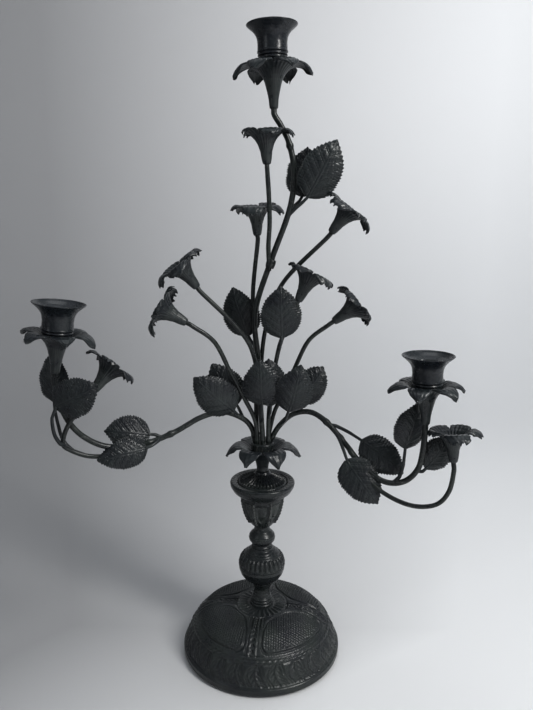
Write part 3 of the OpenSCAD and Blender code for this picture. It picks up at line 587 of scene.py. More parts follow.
def foot_relief(theta, r, z):
    """Relief of the foot: four cross-hatched shields, beaded ribs, rope ring and curled border."""
    h = np.zeros_like(r)
    top = (r > 13.5) & (z > 33)
    collar = ramp(r, 14.6, 16.4) * (1 - ramp(r, 24, 27)) * top
    h += collar * (1.1 * np.abs(np.cos(14 * theta)) ** 0.8 - 0.4)
    h += 0.8 * bump_at(r, 27.5, 0.8) * top
    turned_by = theta + FOOT_TURN
    for k in range(4):
        da = (turned_by - math.radians(45 + 90 * k) + math.pi) % TAU - math.pi
        here = top & (np.cos(da) > 0.4)
        along = r * np.cos(da)
        across = r * np.sin(da)
        side = r * np.sin(math.pi / 4 - np.abs(da)) - 8.6 - 2.6 * (1 - ramp(r, 34, 50))
        sum_sq = (np.clip(1 - side / PANEL_CORNER, 0, 9) ** 2
                  + np.clip(1 - (PANEL_OUT - r) / PANEL_CORNER, 0, 9) ** 2
                  + np.clip(1 - (r - PANEL_IN) / PANEL_CORNER, 0, 9) ** 2)
        inside = PANEL_CORNER * (1 - np.sqrt(sum_sq))
        h += here * 1.6 * bump_at(inside, 0, 0.75)
        h += here * 0.5 * np.abs(np.cos(across * 1.1 + along * 0.5)) * bump_at(inside, -1.2, 0.6)
        h -= here * 0.8 * ramp(inside, 0.7, 1.8)
        a = np.abs(np.sin(math.pi * (across + 0.8 * along) / HATCH))
        b = np.abs(np.sin(math.pi * (across - 0.8 * along) / HATCH))
        h += here * 1.25 * np.minimum(a, b) * ramp(inside, 1.6, 2.6)
        da = (turned_by - math.radians(90 * k) + math.pi) % TAU - math.pi
        across = r * np.sin(da)
        rib = top & (np.cos(da) > 0.5) & (r > 27.5) & (r < 71)
        wide = 3.5 + 0.03 * (r - 27)
        h += rib * 1.5 * bump_at(np.abs(across), wide + 0.6, 0.5)
        h += rib * 0.8 * bump_at(np.abs(across), wide + 2.3, 0.4)
        h += rib * 1.7 * np.abs(np.cos(math.pi * r / RIB_BEADS)) ** 0.8 * bump_at(across, 0, 1.2)
        curl = 2.2 * np.sin(math.pi * r / RIB_BEADS + 0.9)
        h += rib * 1.2 * bump_at(across, curl, 0.55)
        h += rib * 1.0 * bump_at(across, -curl, 0.5)
        fan = rib * (1 - ramp(r, 40, 46)) * (1 - ramp(np.abs(across), 7.5, 8.8))
        h += fan * (1.5 * np.abs(np.cos(math.pi * across / (2.2 + 0.045 * r))) - 0.3)
    rope = bump_at(r, ROPE_R, 1.5) * (z > 29)
    h += rope * (0.6 + 1.4 * np.abs(np.cos(38 * theta + 1.25 * (r - ROPE_R))) ** 0.8)
    h += 0.6 * bump_at(r, 70.4, 0.5) * (z > 30)
    slope = np.clip((BORDER_TOP - z) / (BORDER_TOP - BORDER_LOW), 0, 1)
    band = ((r > BAND_R) & (r < 84.6) & (z > 9)) * ramp(slope, 0, 0.05) \
        * (1 - ramp(slope, 0.93, 1))
    turn = (turned_by * BORDER_LOBES / TAU + 0.16 * np.sin(slope * 4.2)
            + 0.10 * np.sin(3 * theta))
    q = turn % 1.0 - 0.5
    arch = 0.45 * np.sqrt(np.clip(1 - (1 - np.clip(slope * 1.3, 0, 1)) ** 2.4, 0, 1)) + 1e-3
    d = np.abs(q) / arch
    lobe = np.sqrt(np.clip(1 - d ** 2, 0, 1))
    h += band * 1.7 * lobe
    h += band * 1.2 * bump_at(d, 1.0, 0.09)
    h -= band * 0.6 * bump_at(d, 0.8, 0.06)
    h -= band * 0.8 * bump_at(q, 0, 0.03) * (lobe > 0.2)
    barb = np.abs(np.sin(math.pi * (slope * 5.5 - 5.0 * np.abs(q))))
    h += band * 0.75 * barb * lobe * (1 - bump_at(q, 0, 0.06))
    between = np.minimum(turn % 1.0, 1 - turn % 1.0)
    bud = np.clip(1 - (between / (0.15 * ramp(slope, 0.3, 0.85) + 1e-3)) ** 2, 0, 1)
    h += band * 1.0 * np.sqrt(bud) * ramp(slope, 0.3, 0.5)
    h += 0.5 * bump_at(r, 75.4, 0.4) * (z > 26) + 0.5 * bump_at(z, 9.2, 0.5) * (r > 83)
    h -= 0.4 * bump_at(z, 7.6, 0.4) * (r > 84)
    grain = 0.09 * np.sin(r * 1.9 + 3 * np.sin(theta * 7)) * np.sin(theta * 61 + r * 0.8)
    return h + grain * (r > 14.5) * (z > 9)


foot_skin = [(3.2, 52)] + [tuple(row) for row in DOME] + [
    (72.2, 34.4), (73.4, 33.8), (74.6, 32.2), (75.2, 30.2), (77.5, 26.2), (80.3, 21),
    (82.4, 16.4), (83.6, 12.4), (84, 9.4), (84.7, 8.4), (85, 7.2), (85, 2.2), (84.3, 1.5)]
foot_under = [(84.3, 1.5), (77.6, 1.5), (77.6, 7), (76.8, 14), (74, 21), (69, 27.6), (62, 34.6),
              (54, 40.2), (28, 45.8), (13.4, 47.2), (11.4, 46.2), (11.4, 19), (3.2, 19),
              (3.2, 52)]
column_piece("foot_casting", "base_shell", foot_skin, foot_under, 540, 0.74, foot_relief,
             coarse=6, paint=foot_paint)

felt_skin = [(0, 1.5), (81.2, 1.5), (82, 1.1), (82, 0.4), (81.2, 0.02), (60, 0), (0, 0)]


def felt_disc():
    line = soften(resample(felt_skin, 1.6), 1)
    line[:, 1] = np.clip(line[:, 1], 0, 1.5)
    columns = 160
    a = np.arange(columns) * TAU / columns
    r = line[:, :1] * (1 + 0.0012 * wobble(a[None] * 6, 5))
    z = np.repeat(line[:, 1:], columns, axis=1)
    pts = np.stack([r * np.cos(a), r * np.sin(a), z], axis=-1).reshape(-1, 3)
    return pts, quads_of(len(line), columns, wrap=True)


p, q = felt_disc()
piece("felt_underside", p, q, felt, ["felt_pad"], weld=0.02)


# ---------- column ----------

pedestal_skin = [(3.2, 52.1), (12.4, 52.1), (12.9, 53), (12.3, 53.8), (11.5, 54.2), (11.5, 54.9),
                 (12.1, 55.5), (12.1, 56.5), (11, 57.1), (10.6, 57.7), (11.2, 58.4), (11, 59.4),
                 (9.7, 60.3), (8.9, 62.2), (8.2, 65.6), (7.8, 69.2), (8.1, 71.8), (9.3, 74.6),
                 (10.8, 76.5), (10.9, 77.5), (3.2, 77.5)]
column_piece("pedestal_turning", "pedestal", pedestal_skin, [(3.2, 77.5), (3.2, 52.1)], 128, 0.4,
             lambda a, r, z: 0.04 * np.sin(z * 9) * np.sin(3 * a + z))


def knop_relief(theta, r, z):
    """Row of upright lobes on the shoulder, with a line above and below."""
    band = ramp(z, 99.6, 101.6) * (1 - ramp(z, 109.8, 110.7)) * (r > 18.5)
    lobes = np.abs(np.cos(14 * theta)) ** 0.7
    h = band * (2.1 * lobes - 1.4)
    h += 0.4 * bump_at(z, 98.9, 0.5) - 0.3 * bump_at(z, 97.6, 0.4)
    h -= 0.35 * bump_at(z, 83.4, 0.4) + 0.25 * bump_at(z, 113, 0.3)
    return h


knop_skin = [(3.2, 77.6), (11.3, 77.6), (12.4, 78.4), (12.4, 79.3), (15.5, 80.7), (19.7, 84.5),
             (22.8, 89.1), (24.5, 94.4), (24.7, 99.1), (24.3, 102), (23.4, 105.4), (21.6, 108.6),
             (19.2, 110.8), (18.2, 111.4), (18.3, 112.3), (16.4, 113.8), (15, 114.4),
             (14.7, 115.4), (12.6, 116.6), (11.7, 117.4), (11.6, 119.2), (3.2, 119.2)]
column_piece("knop_large_turning", "large_knop", knop_skin, [(3.2, 119.2), (3.2, 77.6)], 320,
             0.4, knop_relief, passes=2)

bead_skin = [(3.2, 119.3), (10.8, 119.3), (11, 120.1), (9.7, 121.4), (9.6, 122.8), (11.6, 124.5),
             (13.6, 127.1), (14.1, 130.2), (13.4, 133.1), (11.2, 135.9), (9.2, 137.7),
             (8.2, 140.3), (8, 142.5), (8.7, 143.8), (3.2, 143.8)]
column_piece("knop_small_turning", "small_knop", bead_skin, [(3.2, 143.8), (3.2, 119.3)], 128,
             0.4, lambda a, r, z: -0.22 * bump_at(z, 131.6, 0.35) + 0.03 * np.sin(z * 8))


def urn_relief(theta, r, z):
    """Eight smooth panels between beaded ribs on the bowl, fine lines on the rim."""
    bowl = ramp(z, 147, 150) * (1 - ramp(z, 176, 177.6)) * (r > 10) * (r < 23.4)
    across = ((theta * 8 / TAU + 0.5) % 1.0 - 0.5) * TAU / 8 * r
    edge = math.pi / 8 * r
    share = across / np.maximum(edge, 1)
    h = bowl * 1.5 * bump_at(np.abs(across), edge, 1.0)
    h += bowl * 0.6 * np.abs(np.cos(z * 0.9)) * bump_at(np.abs(across), edge, 1.2)
    level = np.minimum(174 - 3 * share ** 4 - z, z - 152.5 - 9 * share ** 2)
    flat = ramp(level, 0, 1.2) * (1 - ramp(np.abs(across), edge - 3.2, edge - 1.8))
    h -= bowl * 1.0 * flat
    h += bowl * 0.7 * bump_at(level, -0.6, 0.5) * (np.abs(across) < edge - 1.5)
    h += bowl * 0.7 * np.sqrt(np.clip(1 - (np.abs(share) / 0.45) ** 2, 0, 1)) * ramp(level, 4, 8)
    h += 0.3 * bump_at(z, 189.4, 0.5) * (r > 31) * (z < 193) - 0.35 * bump_at(z, 179.4, 0.4)
    h -= (z > 193.4) * 0.35 * bump_at(r, 28.4, 0.4)
    h += (z > 193.4) * 0.12 * np.sin(theta * 40) * bump_at(r, 30.4, 1.5)
    return h


urn_skin = [(3.2, 143.9), (8.8, 143.9), (11.4, 145.6), (13.4, 148.6), (16.3, 153.6),
            (19.2, 160.7), (21.1, 167.8), (22, 172.4), (22.6, 176.2), (22.8, 178.6),
            (24.2, 179.8), (27.4, 181.4), (30.6, 184.2), (32.7, 187.8), (33.7, 190.8),
            (34, 192.4), (33.7, 193.6), (32.6, 194.4), (29.2, 194.2), (27.2, 193.8),
            (26.2, 193), (25.9, 191.8)]
urn_inside = [(25.9, 191.8), (23.6, 191.8), (23.6, 183.8), (19.1, 178.5), (18.9, 171.3),
              (16.1, 162.5), (11.1, 157.1), (3.2, 157.1), (3.2, 143.9)]
column_piece("urn_casting", "urn", urn_skin, urn_inside, 384, 0.42, urn_relief)


def cover_relief(theta, r, z):
    """Swirled ridges that end in round beads near the rim."""
    open_part = ramp(r, 8.2, 10.5) * (1 - ramp(r, 23.2, 24.2)) * (z > 193)
    phase = 18 * theta + 0.09 * (r - 16)
    ridge = np.abs(np.cos(phase)) ** 0.7
    h = open_part * (1.9 * ridge - 0.7) * (0.45 + 0.55 * ramp(r, 9, 20))
    h += (z > 193) * 1.3 * bump_at(r, 21.8, 1.3) * np.abs(np.cos(phase)) ** 1.5
    return h


cover_skin = [(5.9, 201.2), (3.2, 201.2), (3.2, 205.3), (6.9, 205.3), (7.5, 204.5), (8.4, 202.7),
              (12.5, 200.9), (16.7, 198.6), (20.5, 196.6), (23.6, 194.8), (25.5, 193.4),
              (25.6, 192.6), (25.5, 191.9)]
cover_inside = [(25.5, 191.9), (22.3, 191.9), (22.3, 193.3), (15.8, 196.8), (7.4, 200.6),
                (5.9, 201.2)]
column_piece("urn_cover_casting", "urn_cover", cover_skin, cover_inside, 432, 0.35, cover_relief)

socket_skin = [(3.1, 214.5), (4.3, 214.5), (4.3, 221), (6.4, 223.6), (11.2, 228), (11.6, 229),
               (11.6, 235.6), (10.8, 236.6), (1.5, 236.6)]
column_piece("stem_socket_casting", "stem_socket", socket_skin,
             [(1.5, 236.6), (1.5, 220.6), (3.1, 220.6), (3.1, 214.5)], 96, 0.5,
             lambda a, r, z: 0.25 * np.cos(12 * a) * (z > 229) * (z < 235))

def petal_casting(name, replaced, points, quads, relief):
    piece(name, points, quads, petal_paint, [replaced], relief=relief, weld=0.02)


# Share of the full petal width along a lily's petal, and where the petals part
LILY_OUTLINE = ([0, 0.4, 0.5, 0.6, 0.7, 0.8, 0.9, 1],
                [1, 1, 0.93, 0.82, 0.66, 0.46, 0.22, 0.04])
LILY_PETALS, LILY_SPLIT = 6, 0.42

neck_skin = [(3.2, 214.4), (3.2, 205.4), (6.6, 205.4), (6.1, 207), (6.2, 210), (6.8, 213.4),
             (7.7, 216.4), (8.9, 219)]
neck_inside = [(3.2, 214.4), (4.5, 214.4), (4.5, 216.2), (6.2, 220.4)]
bouquet_petal = [(9.6, 222.4), (10.6, 223.9), (12.5, 226.4), (17.5, 230.3), (23.4, 233.1),
                 (29.4, 231.9), (33.4, 227.2), (35.4, 222.4), (36.6, 219.6)]
p, q, w = petalled(LILY_PETALS, neck_skin, neck_inside, bouquet_petal, 1.3, LILY_OUTLINE,
                   LILY_SPLIT, 11, rows=56, cols=29, roof=2.2, frill=0.9, droop=8)
petal_casting("bouquet_lily_casting", "bouquet_lily", p, q, w)


# ---------- stems, arms and flowers ----------

SOCKET_FLOOR, SOCKET_TOP, RING = 230, 236.6, 7.9
MAIN_R, ARM_R, STEM_R = 2.8, 2.7, 2.2
TOP_FOOT, TOP_LEAN = vec(8, 0, 564.2), -2
LEFT_FOOT, LEFT_LEAN = vec(-188, -70, 325.1), 6.5
RIGHT_FOOT, RIGHT_LEAN = vec(149.7, -70, 280.4), -1
SEAT_H, NECK_H, TOP_LIFT = 26.2, 8.3, 42.5

# Foot of the calyx, way it faces, spin, random seed
FLOWERS = {
    "flower_a": ((2, -13, 513), (-0.06, 0, 1), 32, 1),
    "flower_b": ((-7, 14, 447), (-0.04, -0.07, 1), 24, 2),
    "flower_c": ((-63, -24, 399), (-0.6, -0.1, 0.76), 10, 3),
    "flower_d": ((-73, -30, 366), (-0.84, -0.05, 0.5), 20, 4),
    "flower_e": ((64, -6, 451), (0.6, -0.13, 0.79), 30, 5),
    "flower_f": ((33, -18, 386), (0.42, 0.15, 0.88), 0, 6),
    "flower_g": ((70, 4, 363), (0.82, 0.12, 0.56), 14, 7),
    "left_arm_flower": ((-155, -66, 308), (0.58, 0.36, 0.8), 20, 8),
    "right_arm_flower": ((175, -80, 247), (-0.06, 0.12, 0.99), 4, 9),
}


def ring_at(angle, z):
    a = math.radians(angle)
    return vec(RING * math.cos(a), RING * math.sin(a), z)


def flower_end(name, back=7.0):
    """Straight end of a stem, up into its calyx."""
    foot, way = vec(*FLOWERS[name][0]), unit(FLOWERS[name][1])
    return [foot - back * way, foot - 0.5 * way, foot + 5 * way]


def rod(name, path, radius, slot_nodes, seed, collars=()):
    """Stem swept along its path, with small swellings at the collars, given as (share, radius)."""
    q = resample(smooth_path(path, 10), 1.3)
    share = np.linspace(0, 1, len(q))
    length = np.linalg.norm(np.diff(q, axis=0), axis=1).sum()
    r = radius * np.ones(len(q))
    for place, extra, wide in collars:
        r = r + extra * np.exp(-((share - place) * length / wide) ** 2)
    pts, quads, relief = tube(q, r, seed=seed)
    piece(name, pts, quads, rod_paint, slot_nodes, relief=relief)


def bouquet_path(angle, middle, flower):
    return [ring_at(angle, SOCKET_FLOOR + 0.2), ring_at(angle, SOCKET_TOP + 1), *middle,
            *flower_end(flower)]


u = lean_dir(TOP_LEAN)
rod("main_stem_rod", [
    (0, 0, 225.3), (0, 0, 237.4), (-3, 0, 282), (-5, 0, 323), (-9, 0, 359), (-6, 0, 385),
    (8, 0, 427), (24, 0, 472), (28, 0, 506), (23, 0, 533), (15, 0, 549),
    TOP_FOOT - 4 * u, TOP_FOOT + 7.8 * u], MAIN_R, ["main_stem"], 20,
    collars=[(0.875, 0.9, 2.2), (0.562, 0.5, 3)])
stem_a_path = [(5, -1.6, 414), (4.7, -2.8, 421), (4, -6.4, 438), (5, -9.6, 460), (4, -12, 485),
               *flower_end("flower_a")]
a_line = resample(smooth_path(stem_a_path, 10), 1.3)
collar_line = resample([(5.2, -1.4, 416.6), (5.6, -1.4, 418), (6.4, -1.4, 420.6),
                        (7.4, -1.4, 423.4), (7.9, -1.4, 424.8)], 0.6)
pts, quads, relief = joined(
    tube(a_line, STEM_R, seed=21),
    tube(collar_line, 3.9 + 0.75 * np.sin(np.linspace(0, math.pi, len(collar_line))), sides=28,
         seed=22, uneven=0.12))
piece("stem_a_rod", pts, quads, rod_paint, ["stem_a"], relief=relief)
STEMS = {
    "b": (135, [(-7.2, 6.5, 270), (-7, 7, 312), (-9, 8, 353), (-11, 10, 392)]),
    "c": (270, [(-2, -8, 273), (-5, -8, 307), (-13, -11, 340), (-30, -16, 364)]),
    "d": (225, [(-8, -7, 262), (-19, -11, 287), (-32, -17, 314), (-47, -24, 346)]),
    "e": (90, [(-2, 8, 266), (-2, 8, 321), (4, 9, 363), (20, 6, 403)]),
    "f": (315, [(6, -6, 270), (10, -7, 307), (16, -11, 341), (24, -15, 364)]),
    "g": (45, [(12, 6, 268), (23, 6, 290), (34, 5, 319), (46, 4, 344)]),
}
for k, (letter, (angle, middle)) in enumerate(STEMS.items()):
    rod("stem_%s_rod" % letter, bouquet_path(angle, middle, "flower_" + letter), STEM_R,
        ["stem_" + letter], 30 + k, collars=[(0.06, 0.5, 1.5)])
u = lean_dir(LEFT_LEAN)
rod("left_arm_rod", [
    ring_at(180, SOCKET_FLOOR + 0.2), ring_at(180, SOCKET_TOP + 1), (-12, -1, 253),
    (-22, -4, 264), (-41, -11, 272), (-62, -20, 269), (-87, -31, 257), (-114, -43, 249),
    (-137, -53, 249), (-155, -61, 255), (-172, -68, 270), (-183, -70, 290), LEFT_FOOT - 9 * u,
    LEFT_FOOT - 0.5 * u, LEFT_FOOT + 7.8 * u], ARM_R, ["left_arm"], 40,
    collars=[(0.42, 0.8, 3), (0.5, 0.7, 2.5), (0.05, 0.5, 1.5)])
rod("left_twig_rod", [
    (-121, -46, 248), (-129, -51, 244), (-144, -57, 242), (-163, -64, 244), (-178, -70, 252),
    (-183, -75, 261), (-176, -75, 280), *flower_end("left_arm_flower")], STEM_R, ["left_twig"],
    41, collars=[(0.03, 0.7, 4)])
u = lean_dir(RIGHT_LEAN)
rod("right_arm_rod", [
    ring_at(0, SOCKET_FLOOR + 0.2), ring_at(0, SOCKET_TOP + 1), (17, -2, 255), (31, -6, 269),
    (48, -12, 273), (64, -20, 265), (83, -31, 245), (99, -42, 227), (118, -52, 216),
    (135, -61, 220), (146, -67, 235), (149, -70, 255), RIGHT_FOOT - 6 * u,
    RIGHT_FOOT - 0.5 * u, RIGHT_FOOT + 7.8 * u], ARM_R, ["right_arm"], 42,
    collars=[(0.33, 0.8, 3), (0.41, 0.8, 3), (0.05, 0.5, 1.5)])
rod("right_twig_rod", [
    (85, -33, 243), (90, -37, 235), (107, -50, 213), (126, -60, 202), (146, -68, 198),
    (164, -74, 203), (173, -79, 218), *flower_end("right_arm_flower", 9)], STEM_R,
    ["right_twig"], 43, collars=[(0.03, 0.7, 4)])

FLOWER_OUTLINE = ([0, 0.55, 0.66, 0.76, 0.86, 0.94, 1], [1, 1, 0.95, 0.87, 0.74, 0.56, 0.36])
FLOWER_PETALS, FLOWER_SPLIT = 5, 0.55
CALYX = [(0, 5.2), (2.3, 5.2), (2.3, 0), (3.2, 0), (4, 1.5), (4.7, 5), (5.3, 9), (5.6, 12)]
FLOWER_PETAL = [(5.5, 13), (7, 18), (9.6, 22.6), (13.2, 26.4), (17, 28.8), (20.4, 29.2),
                (23.2, 27), (25, 22.8)]
for name, (foot, way, spin, seed) in FLOWERS.items():
    p, q, w = petalled(FLOWER_PETALS, CALYX, [(0, 9), (3.2, 9.9)], FLOWER_PETAL, 1.15,
                       FLOWER_OUTLINE, FLOWER_SPLIT, 50 + seed, rows=52, cols=29, roof=1.7,
                       frill=0.7, ribs=0.6, droop=13, notch=0.115, ragged=0.1)
    petal_casting(name + "_casting", name, placed(p, foot, way, spin), q, w)


# ---------- candle cups ----------

TOP_PETAL = [(10.2, 29), (12.3, 31.6), (14.7, 34), (19.8, 37.3), (25, 38.6), (30.2, 37),
             (33.6, 33.8), (35.4, 30.8), (36.8, 29.2), (38.2, 29)]
SIDE_PETAL = [(10.2, 29), (12.3, 31.6), (14.6, 33.9), (18.6, 36.6), (22.6, 37.8), (26.6, 37),
              (29.8, 34.6), (31.6, 32), (32.8, 30.6), (34, 30.4)]


def lily_casting(name, seat, line, foot, lean, seed):
    """Lily under a cup, with its stem hole below and its screw hole above."""
    throat = [(0, 8.2), (2.85, 8.2), (2.85, 0), (3.9, 0), (4.3, 3), (4.7, 8), (5.7, 13.5),
              (8, 23), (9.6, 26.4)]
    hollow = [(0, seat - 9.6), (2.05, seat - 9.6), (2.05, seat), (6.6, seat),
              (6.6, SEAT_H - 0.2), (7.8, SEAT_H - 0.2)]
    p, q, w = petalled(LILY_PETALS, throat, hollow, line, 1.35, LILY_OUTLINE, LILY_SPLIT, seed,
                       rows=56, cols=29, roof=2.4, frill=1.0, ribs=0.5, droop=7, ragged=0.03)
    petal_casting(name + "_casting", name, stood(p, foot, lean), q, w)


lily_casting("top_lily", TOP_LIFT - NECK_H, TOP_PETAL, TOP_FOOT, TOP_LEAN, 12)
lily_casting("left_lily", SEAT_H, SIDE_PETAL, LEFT_FOOT, LEFT_LEAN, 13)
lily_casting("right_lily", SEAT_H, SIDE_PETAL, RIGHT_FOOT, RIGHT_LEAN, 14)

cup_skin = [(6.2, -8.1), (6.8, -7), (8.2, -5), (10.4, -3), (11.8, -0.4), (13, 0.4), (13, 1.4),
            (12.6, 2), (12.6, 2.6), (13.9, 3.2), (13.9, 4.2), (13.2, 4.8), (13.2, 5.4),
            (14.3, 6), (14.3, 7), (13.9, 7.8), (13.7, 14), (14.2, 18), (15, 20.4),
            (16.5, 22.8), (18.4, 25), (20.9, 27.2), (22.9, 28.8), (23.7, 29.6), (23.9, 29.95),
            (23.5, 30.3), (22.6, 30), (21.2, 28.5), (18, 26.2), (13.6, 24.6), (11.7, 23.9),
            (11.2, 23), (11.2, 1), (4.6, 1)]
cup_under = [(4.6, 1), (4.6, -2.4), (2.35, -2.4), (2.35, -8.1), (6.2, -8.1)]


def cup_relief(theta, r, z):
    hammered = 0.05 * np.sin(theta * 9 + z * 0.7) * np.sin(z * 0.5 + 2 * np.cos(theta * 2))
    inside = (r < 11.6) & (z > 1.5) & (z < 23.5)
    return hammered - 0.12 * inside * np.abs(np.sin(theta * 5 + z)) - 0.1 * (z < 1) * (z > -6)


CUPS = {"top": (TOP_FOOT, TOP_LEAN, TOP_LIFT), "left": (LEFT_FOOT, LEFT_LEAN, SEAT_H + NECK_H),
        "right": (RIGHT_FOOT, RIGHT_LEAN, SEAT_H + NECK_H)}
for side, (foot, lean, lift) in CUPS.items():
    p, q, w = turned(cup_skin, cup_under, 144, 0.4, cup_relief, passes=1, coarse=1.5)
    p = p + vec(0, 0, lift)
    piece(side + "_cup_turning", stood(p, foot, lean), q, cup_paint,
          [side + "_cup"], body=side + "_candle_cup", relief=w)


# ---------- leaves ----------

# base, tip, face, width, bow, droop, stalk
LEAVES = {
    "leaf_top_front": ((41, -7, 484), (67, -11, 536), (0.2, -1, 0.15), 40, 5, 3,
        [(24, 0, 468), (29, -2, 473), (37, -6, 480), (42.8, -7.4, 486)]),
    "leaf_top_back": ((37, 8, 485), (40, 12, 532), (-0.25, -1, 0.1), 38, -4, -3,
        [(26, 1, 472), (28, 3, 475), (34, 7, 481), (37.5, 8, 487)]),
    "leaf_upper_left": ((-16, 14, 346), (-32, 18, 395), (-0.25, -1, 0.1), 38, 4, 4,
        [(-8.2, 7.6, 334), (-9.4, 9.4, 337), (-13.4, 13, 342), (-16.6, 14, 348)]),
    "leaf_upper_right": ((18, -17, 350), (15, -23, 401), (0.05, -1, 0.1), 40, 4, 4,
        [(15.2, -10.4, 336), (16, -12.6, 340), (17.2, -16.2, 346.5),
         (17.4, -17.4, 352)]),
    "leaf_centre_front": ((-1, -15, 281), (-4, -23, 329), (-0.05, -1, 0.15), 38, 5, 5,
        [(-1.6, -8, 262), (-1.6, -10.4, 265), (-1, -14, 273),
         (-1, -15.4, 283)]),
    "leaf_centre_back": ((8, -11, 279), (6, -14, 328), (0.3, -1, 0.1), 37, 3, 4,
        [(5.4, -6, 264), (6, -8, 268), (7.4, -10.4, 273), (8, -11.2, 281)]),
    "leaf_low_left_front": ((-29, -16, 275), (-67, -31, 312), (-0.2, -1, 0.25), 39, 5, 5,
        [(-28, -6, 267.6), (-27, -9, 269), (-27, -14, 272),
         (-30.3, -16.6, 276.3)]),
    "leaf_low_left_back": ((-27, -1, 277), (-53, 3, 318), (-0.1, -1, 0.2), 38, 4, 4,
        [(-20.4, -3.4, 263), (-21.4, -1.6, 265.4), (-24.5, -0.6, 272),
         (-28, -1, 279)]),
    "leaf_low_right_front": ((26, -17, 275), (37, -24, 324), (0.1, -1, 0.2), 38, 5, 5,
        [(19.2, -2.6, 257), (19, -6, 259), (23, -14, 266),
         (26.3, -17.2, 277)]),
    "leaf_low_right_back": ((36, 0, 281), (62, 2, 316), (0.2, -1, 0.2), 35, 3, 4,
        [(38, -8.6, 271), (37, -6, 273), (35, -1, 277), (37, 0, 282.4)]),
    "leaf_arm_left_lower": ((-111, -49, 247), (-155, -66, 241), (-0.15, -1, 0.25), 29, 4, 4,
        [(-100, -37, 252), (-102, -41, 251), (-107, -47, 248.6),
         (-112.4, -50, 247)]),
    "leaf_arm_left_upper": ((-110, -38, 257), (-152, -48, 263), (-0.1, -0.9, 0.5), 35, 3, 4,
        [(-98, -36, 253), (-101, -36.4, 254.4), (-106, -37, 256.6),
         (-111.4, -38.6, 257.4)]),
    "leaf_arm_left_cup": ((-185, -85, 298), (-145, -90, 319), (0.1, -1, 0.1), 37, 4, 4,
        [(-182, -73.6, 258), (-184, -78.6, 261), (-187.4, -83.6, 272),
         (-188, -85.4, 288), (-183.6, -85.6, 298.8)]),
    "leaf_arm_left_loop": ((-193, -62, 296), (-195, -54, 342), (-0.45, -1, 0.1), 35, 3, 4,
        [(-167, -66, 246), (-177, -64, 249), (-187, -62, 259),
         (-191, -62, 275), (-193, -62, 290), (-193.4, -61.6, 298)]),
    "leaf_arm_right_upper": ((98, -30, 250), (138, -44, 221), (0.1, -1, 0.35), 34, 4, 4,
        [(66.6, -21.4, 263), (73, -22, 262), (87, -26, 256),
         (99.5, -30.6, 249)]),
    "leaf_arm_right_lower": ((82, -40, 233), (112, -54, 193), (-0.1, -1, 0.3), 38, 4, 4,
        [(72, -25, 257.4), (75, -29.6, 253), (80, -37, 241),
         (83.4, -40.4, 231.6)]),
    "leaf_arm_right_cup": ((135, -57, 252), (146, -56, 297), (0.25, -1, 0.1), 34, 4, 4,
        [(126, -56.4, 217), (131, -56.6, 222), (134.6, -57, 236),
         (135.6, -57, 254)]),
    "leaf_arm_right_outer": ((153.5, -68, 236), (176, -66, 268), (0.1, -1, 0.1), 29, 2, 3,
        [(145.4, -66.8, 234), (147.4, -66, 232.6), (151, -67, 233),
         (154.6, -68.4, 237.6)]),
}
for k, (name, (base, tip, face, width, bow, droop, stalk)) in enumerate(LEAVES.items()):
    blade = leaf_blade(base, tip, face, width, bow, droop, 70 + k)
    line = resample(smooth_path(stalk, 8), 0.9)
    taper = np.linspace(1.9, 1.35, len(line))
    stalk_tube = tube(line, taper, sides=16, seed=90 + k)
    p, q, w = joined(blade, stalk_tube)
    piece(name + "_casting", p, q, leaf_paint, [name], relief=w)


# ---------- carried-over steel parts ----------

for name in ("bottom_plate", "tie_rod", "tie_washer", "tie_nut", "cup_screws"):
    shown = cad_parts[name]
    shown.data.materials.clear()
    shown.data.materials.append(steel)


# ---------- floor, light and camera ----------

# Lengths here are in metres
CAMERA_X, CAMERA_Y, CAMERA_Z = 0.0031, -0.6325, 0.4635
FLOOR_Z, FLAT_R, CURVE_R, WALL_R, WALL_TOP = -0.0005, 0.8, 1.8, 2.6, 3.4


def maths(tree, operation, place, first, second):
    """Math node of two links or numbers; returns its output."""
    made = node(tree, "ShaderNodeMath", place, operation=operation)
    for socket, value in zip(made.inputs, (first, second)):
        if isinstance(value, float):
            socket.default_value = value
        else:
            tree.links.new(value, socket)
    return made.outputs[0]


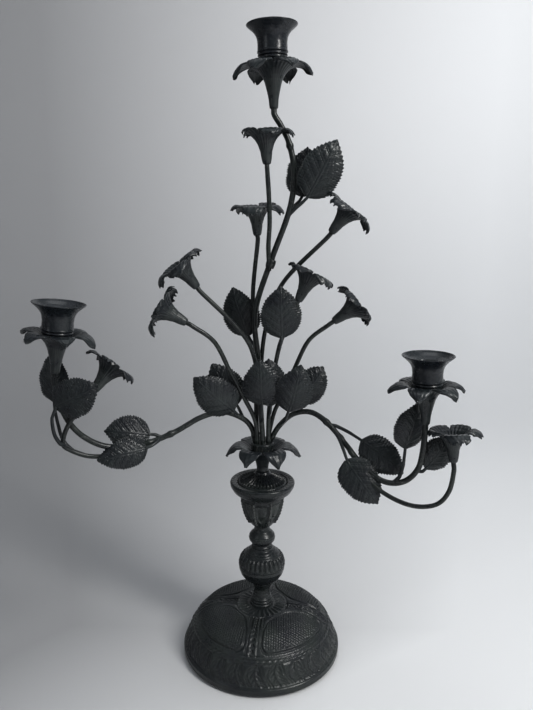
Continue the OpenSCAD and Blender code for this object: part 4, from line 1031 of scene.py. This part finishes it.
def studio():
    """Pale seamless bowl: flat floor that curves up to a wall all round. Its grey holds painted
    shade, darker on the camera's left, and painted light, paler on the right and close to the
    camera."""
    line = [(0.0, FLOOR_Z), (FLAT_R, FLOOR_Z)]
    line += [(FLAT_R + CURVE_R * math.sin(a), CURVE_R - CURVE_R * math.cos(a) + FLOOR_Z)
             for a in np.linspace(0.05, math.pi / 2, 40)]
    line += [(WALL_R, 2.2), (WALL_R, WALL_TOP)]
    line = np.array(line)
    columns = 96
    a = np.arange(columns) * TAU / columns
    pts = np.stack([line[:, :1] * np.cos(a), line[:, :1] * np.sin(a),
                    np.repeat(line[:, 1:], columns, axis=1)], axis=-1).reshape(-1, 3)
    mesh = bpy.data.meshes.new("studio_floor")
    mesh.from_pydata(pts.tolist(), [], quads_of(len(line), columns, wrap=True).tolist())
    work = bmesh.new()
    work.from_mesh(mesh)
    bmesh.ops.remove_doubles(work, verts=work.verts, dist=1e-5)
    work.to_mesh(mesh)
    work.free()
    mesh.polygons.foreach_set("use_smooth", np.ones(len(mesh.polygons), bool))
    made = linked("studio_floor", mesh)
    material, tree, shader = new_material("floor_painted_light_and_shade")
    place = node(tree, "ShaderNodeSeparateXYZ", (-900, 0))
    tree.links.new(node(tree, "ShaderNodeTexCoord", (-1100, 0)).outputs["Object"],
                   place.inputs[0])
    # Painted shade on the camera's left and painted light on its right: grey set by X over
    # distance from the camera
    depth = maths(tree, "ADD", (-800, -150), place.outputs["Y"], -CAMERA_Y)
    near = maths(tree, "MAXIMUM", (-710, -150), depth, 0.45)
    share = maths(tree, "DIVIDE", (-620, 0), place.outputs["X"], near)
    # Painted light: the floor's grey lightens close to the camera
    front = spread(tree, place.outputs["Y"], 0.03, -0.2, 0, 0.5, (-620, -300))
    both = maths(tree, "ADD", (-530, -100), share, front)
    across = spread(tree, both, -0.33, 0.34, 0, 1, (-450, 0))
    tree.links.new(mixed(tree, across, (0.36, 0.36, 0.365), (0.81, 0.815, 0.82), (-250, 0)),
                   shader.inputs["Base Color"])
    shader.inputs["Roughness"].default_value = 0.9
    shader.inputs["Specular IOR Level"].default_value = 0.2
    mesh.materials.append(material)


def area_light(name, place, target, size, power, colour):
    data = bpy.data.lights.new(name, "AREA")
    data.shape = "RECTANGLE"
    data.size, data.size_y = size
    data.energy = power
    data.color = colour
    made = linked(name, data)
    made.location = place
    made.rotation_euler = (Vector(target) - Vector(place)).to_track_quat("-Z", "Y").to_euler()


studio()
area_light("key_right", (0.95, -0.75, 1.25), (0, 0, 0.33), (0.3, 0.9), 17, (1, 0.99, 0.97))
area_light("overhead", (0.1, 0.3, 2.0), (0, 0, 0.2), (1.0, 1.0), 5, (0.97, 0.99, 1))
area_light("fill_left", (-1.2, -0.9, 0.9), (0, 0, 0.3), (0.3, 1.2), 2, (0.93, 0.97, 1))
area_light("backdrop", (0.35, 1.1, 1.75), (0.3, 2.6, 1.5), (1.6, 0.4), 15, (1, 1, 1))
world = bpy.data.worlds.new("studio_world")
world.use_nodes = True
world.node_tree.nodes["Background"].inputs["Color"].default_value = (0.8, 0.84, 0.9, 1)
world.node_tree.nodes["Background"].inputs["Strength"].default_value = 0.66
bpy.context.scene.world = world
bpy.context.scene.view_settings.view_transform = "Standard"
bpy.context.scene.view_settings.gamma = 0.86

# The longer side of the picture spans the sensor; angles are in degrees
IMAGE_H, FOCAL_PX, SENSOR, PITCH, ROLL = 710, 640, 36, 12, 0.5
camera = bpy.data.cameras.new("photo_camera")
camera.sensor_width = SENSOR
camera.lens = FOCAL_PX / IMAGE_H * SENSOR
camera.clip_start, camera.clip_end = 0.01, 20
viewer = linked("photo_camera", camera)
viewer.matrix_world = (Matrix.Translation((CAMERA_X, CAMERA_Y, CAMERA_Z))
                       @ Matrix.Rotation(math.radians(90 - PITCH), 4, "X")
                       @ Matrix.Rotation(math.radians(ROLL), 4, "Z"))
bpy.context.scene.camera = viewer
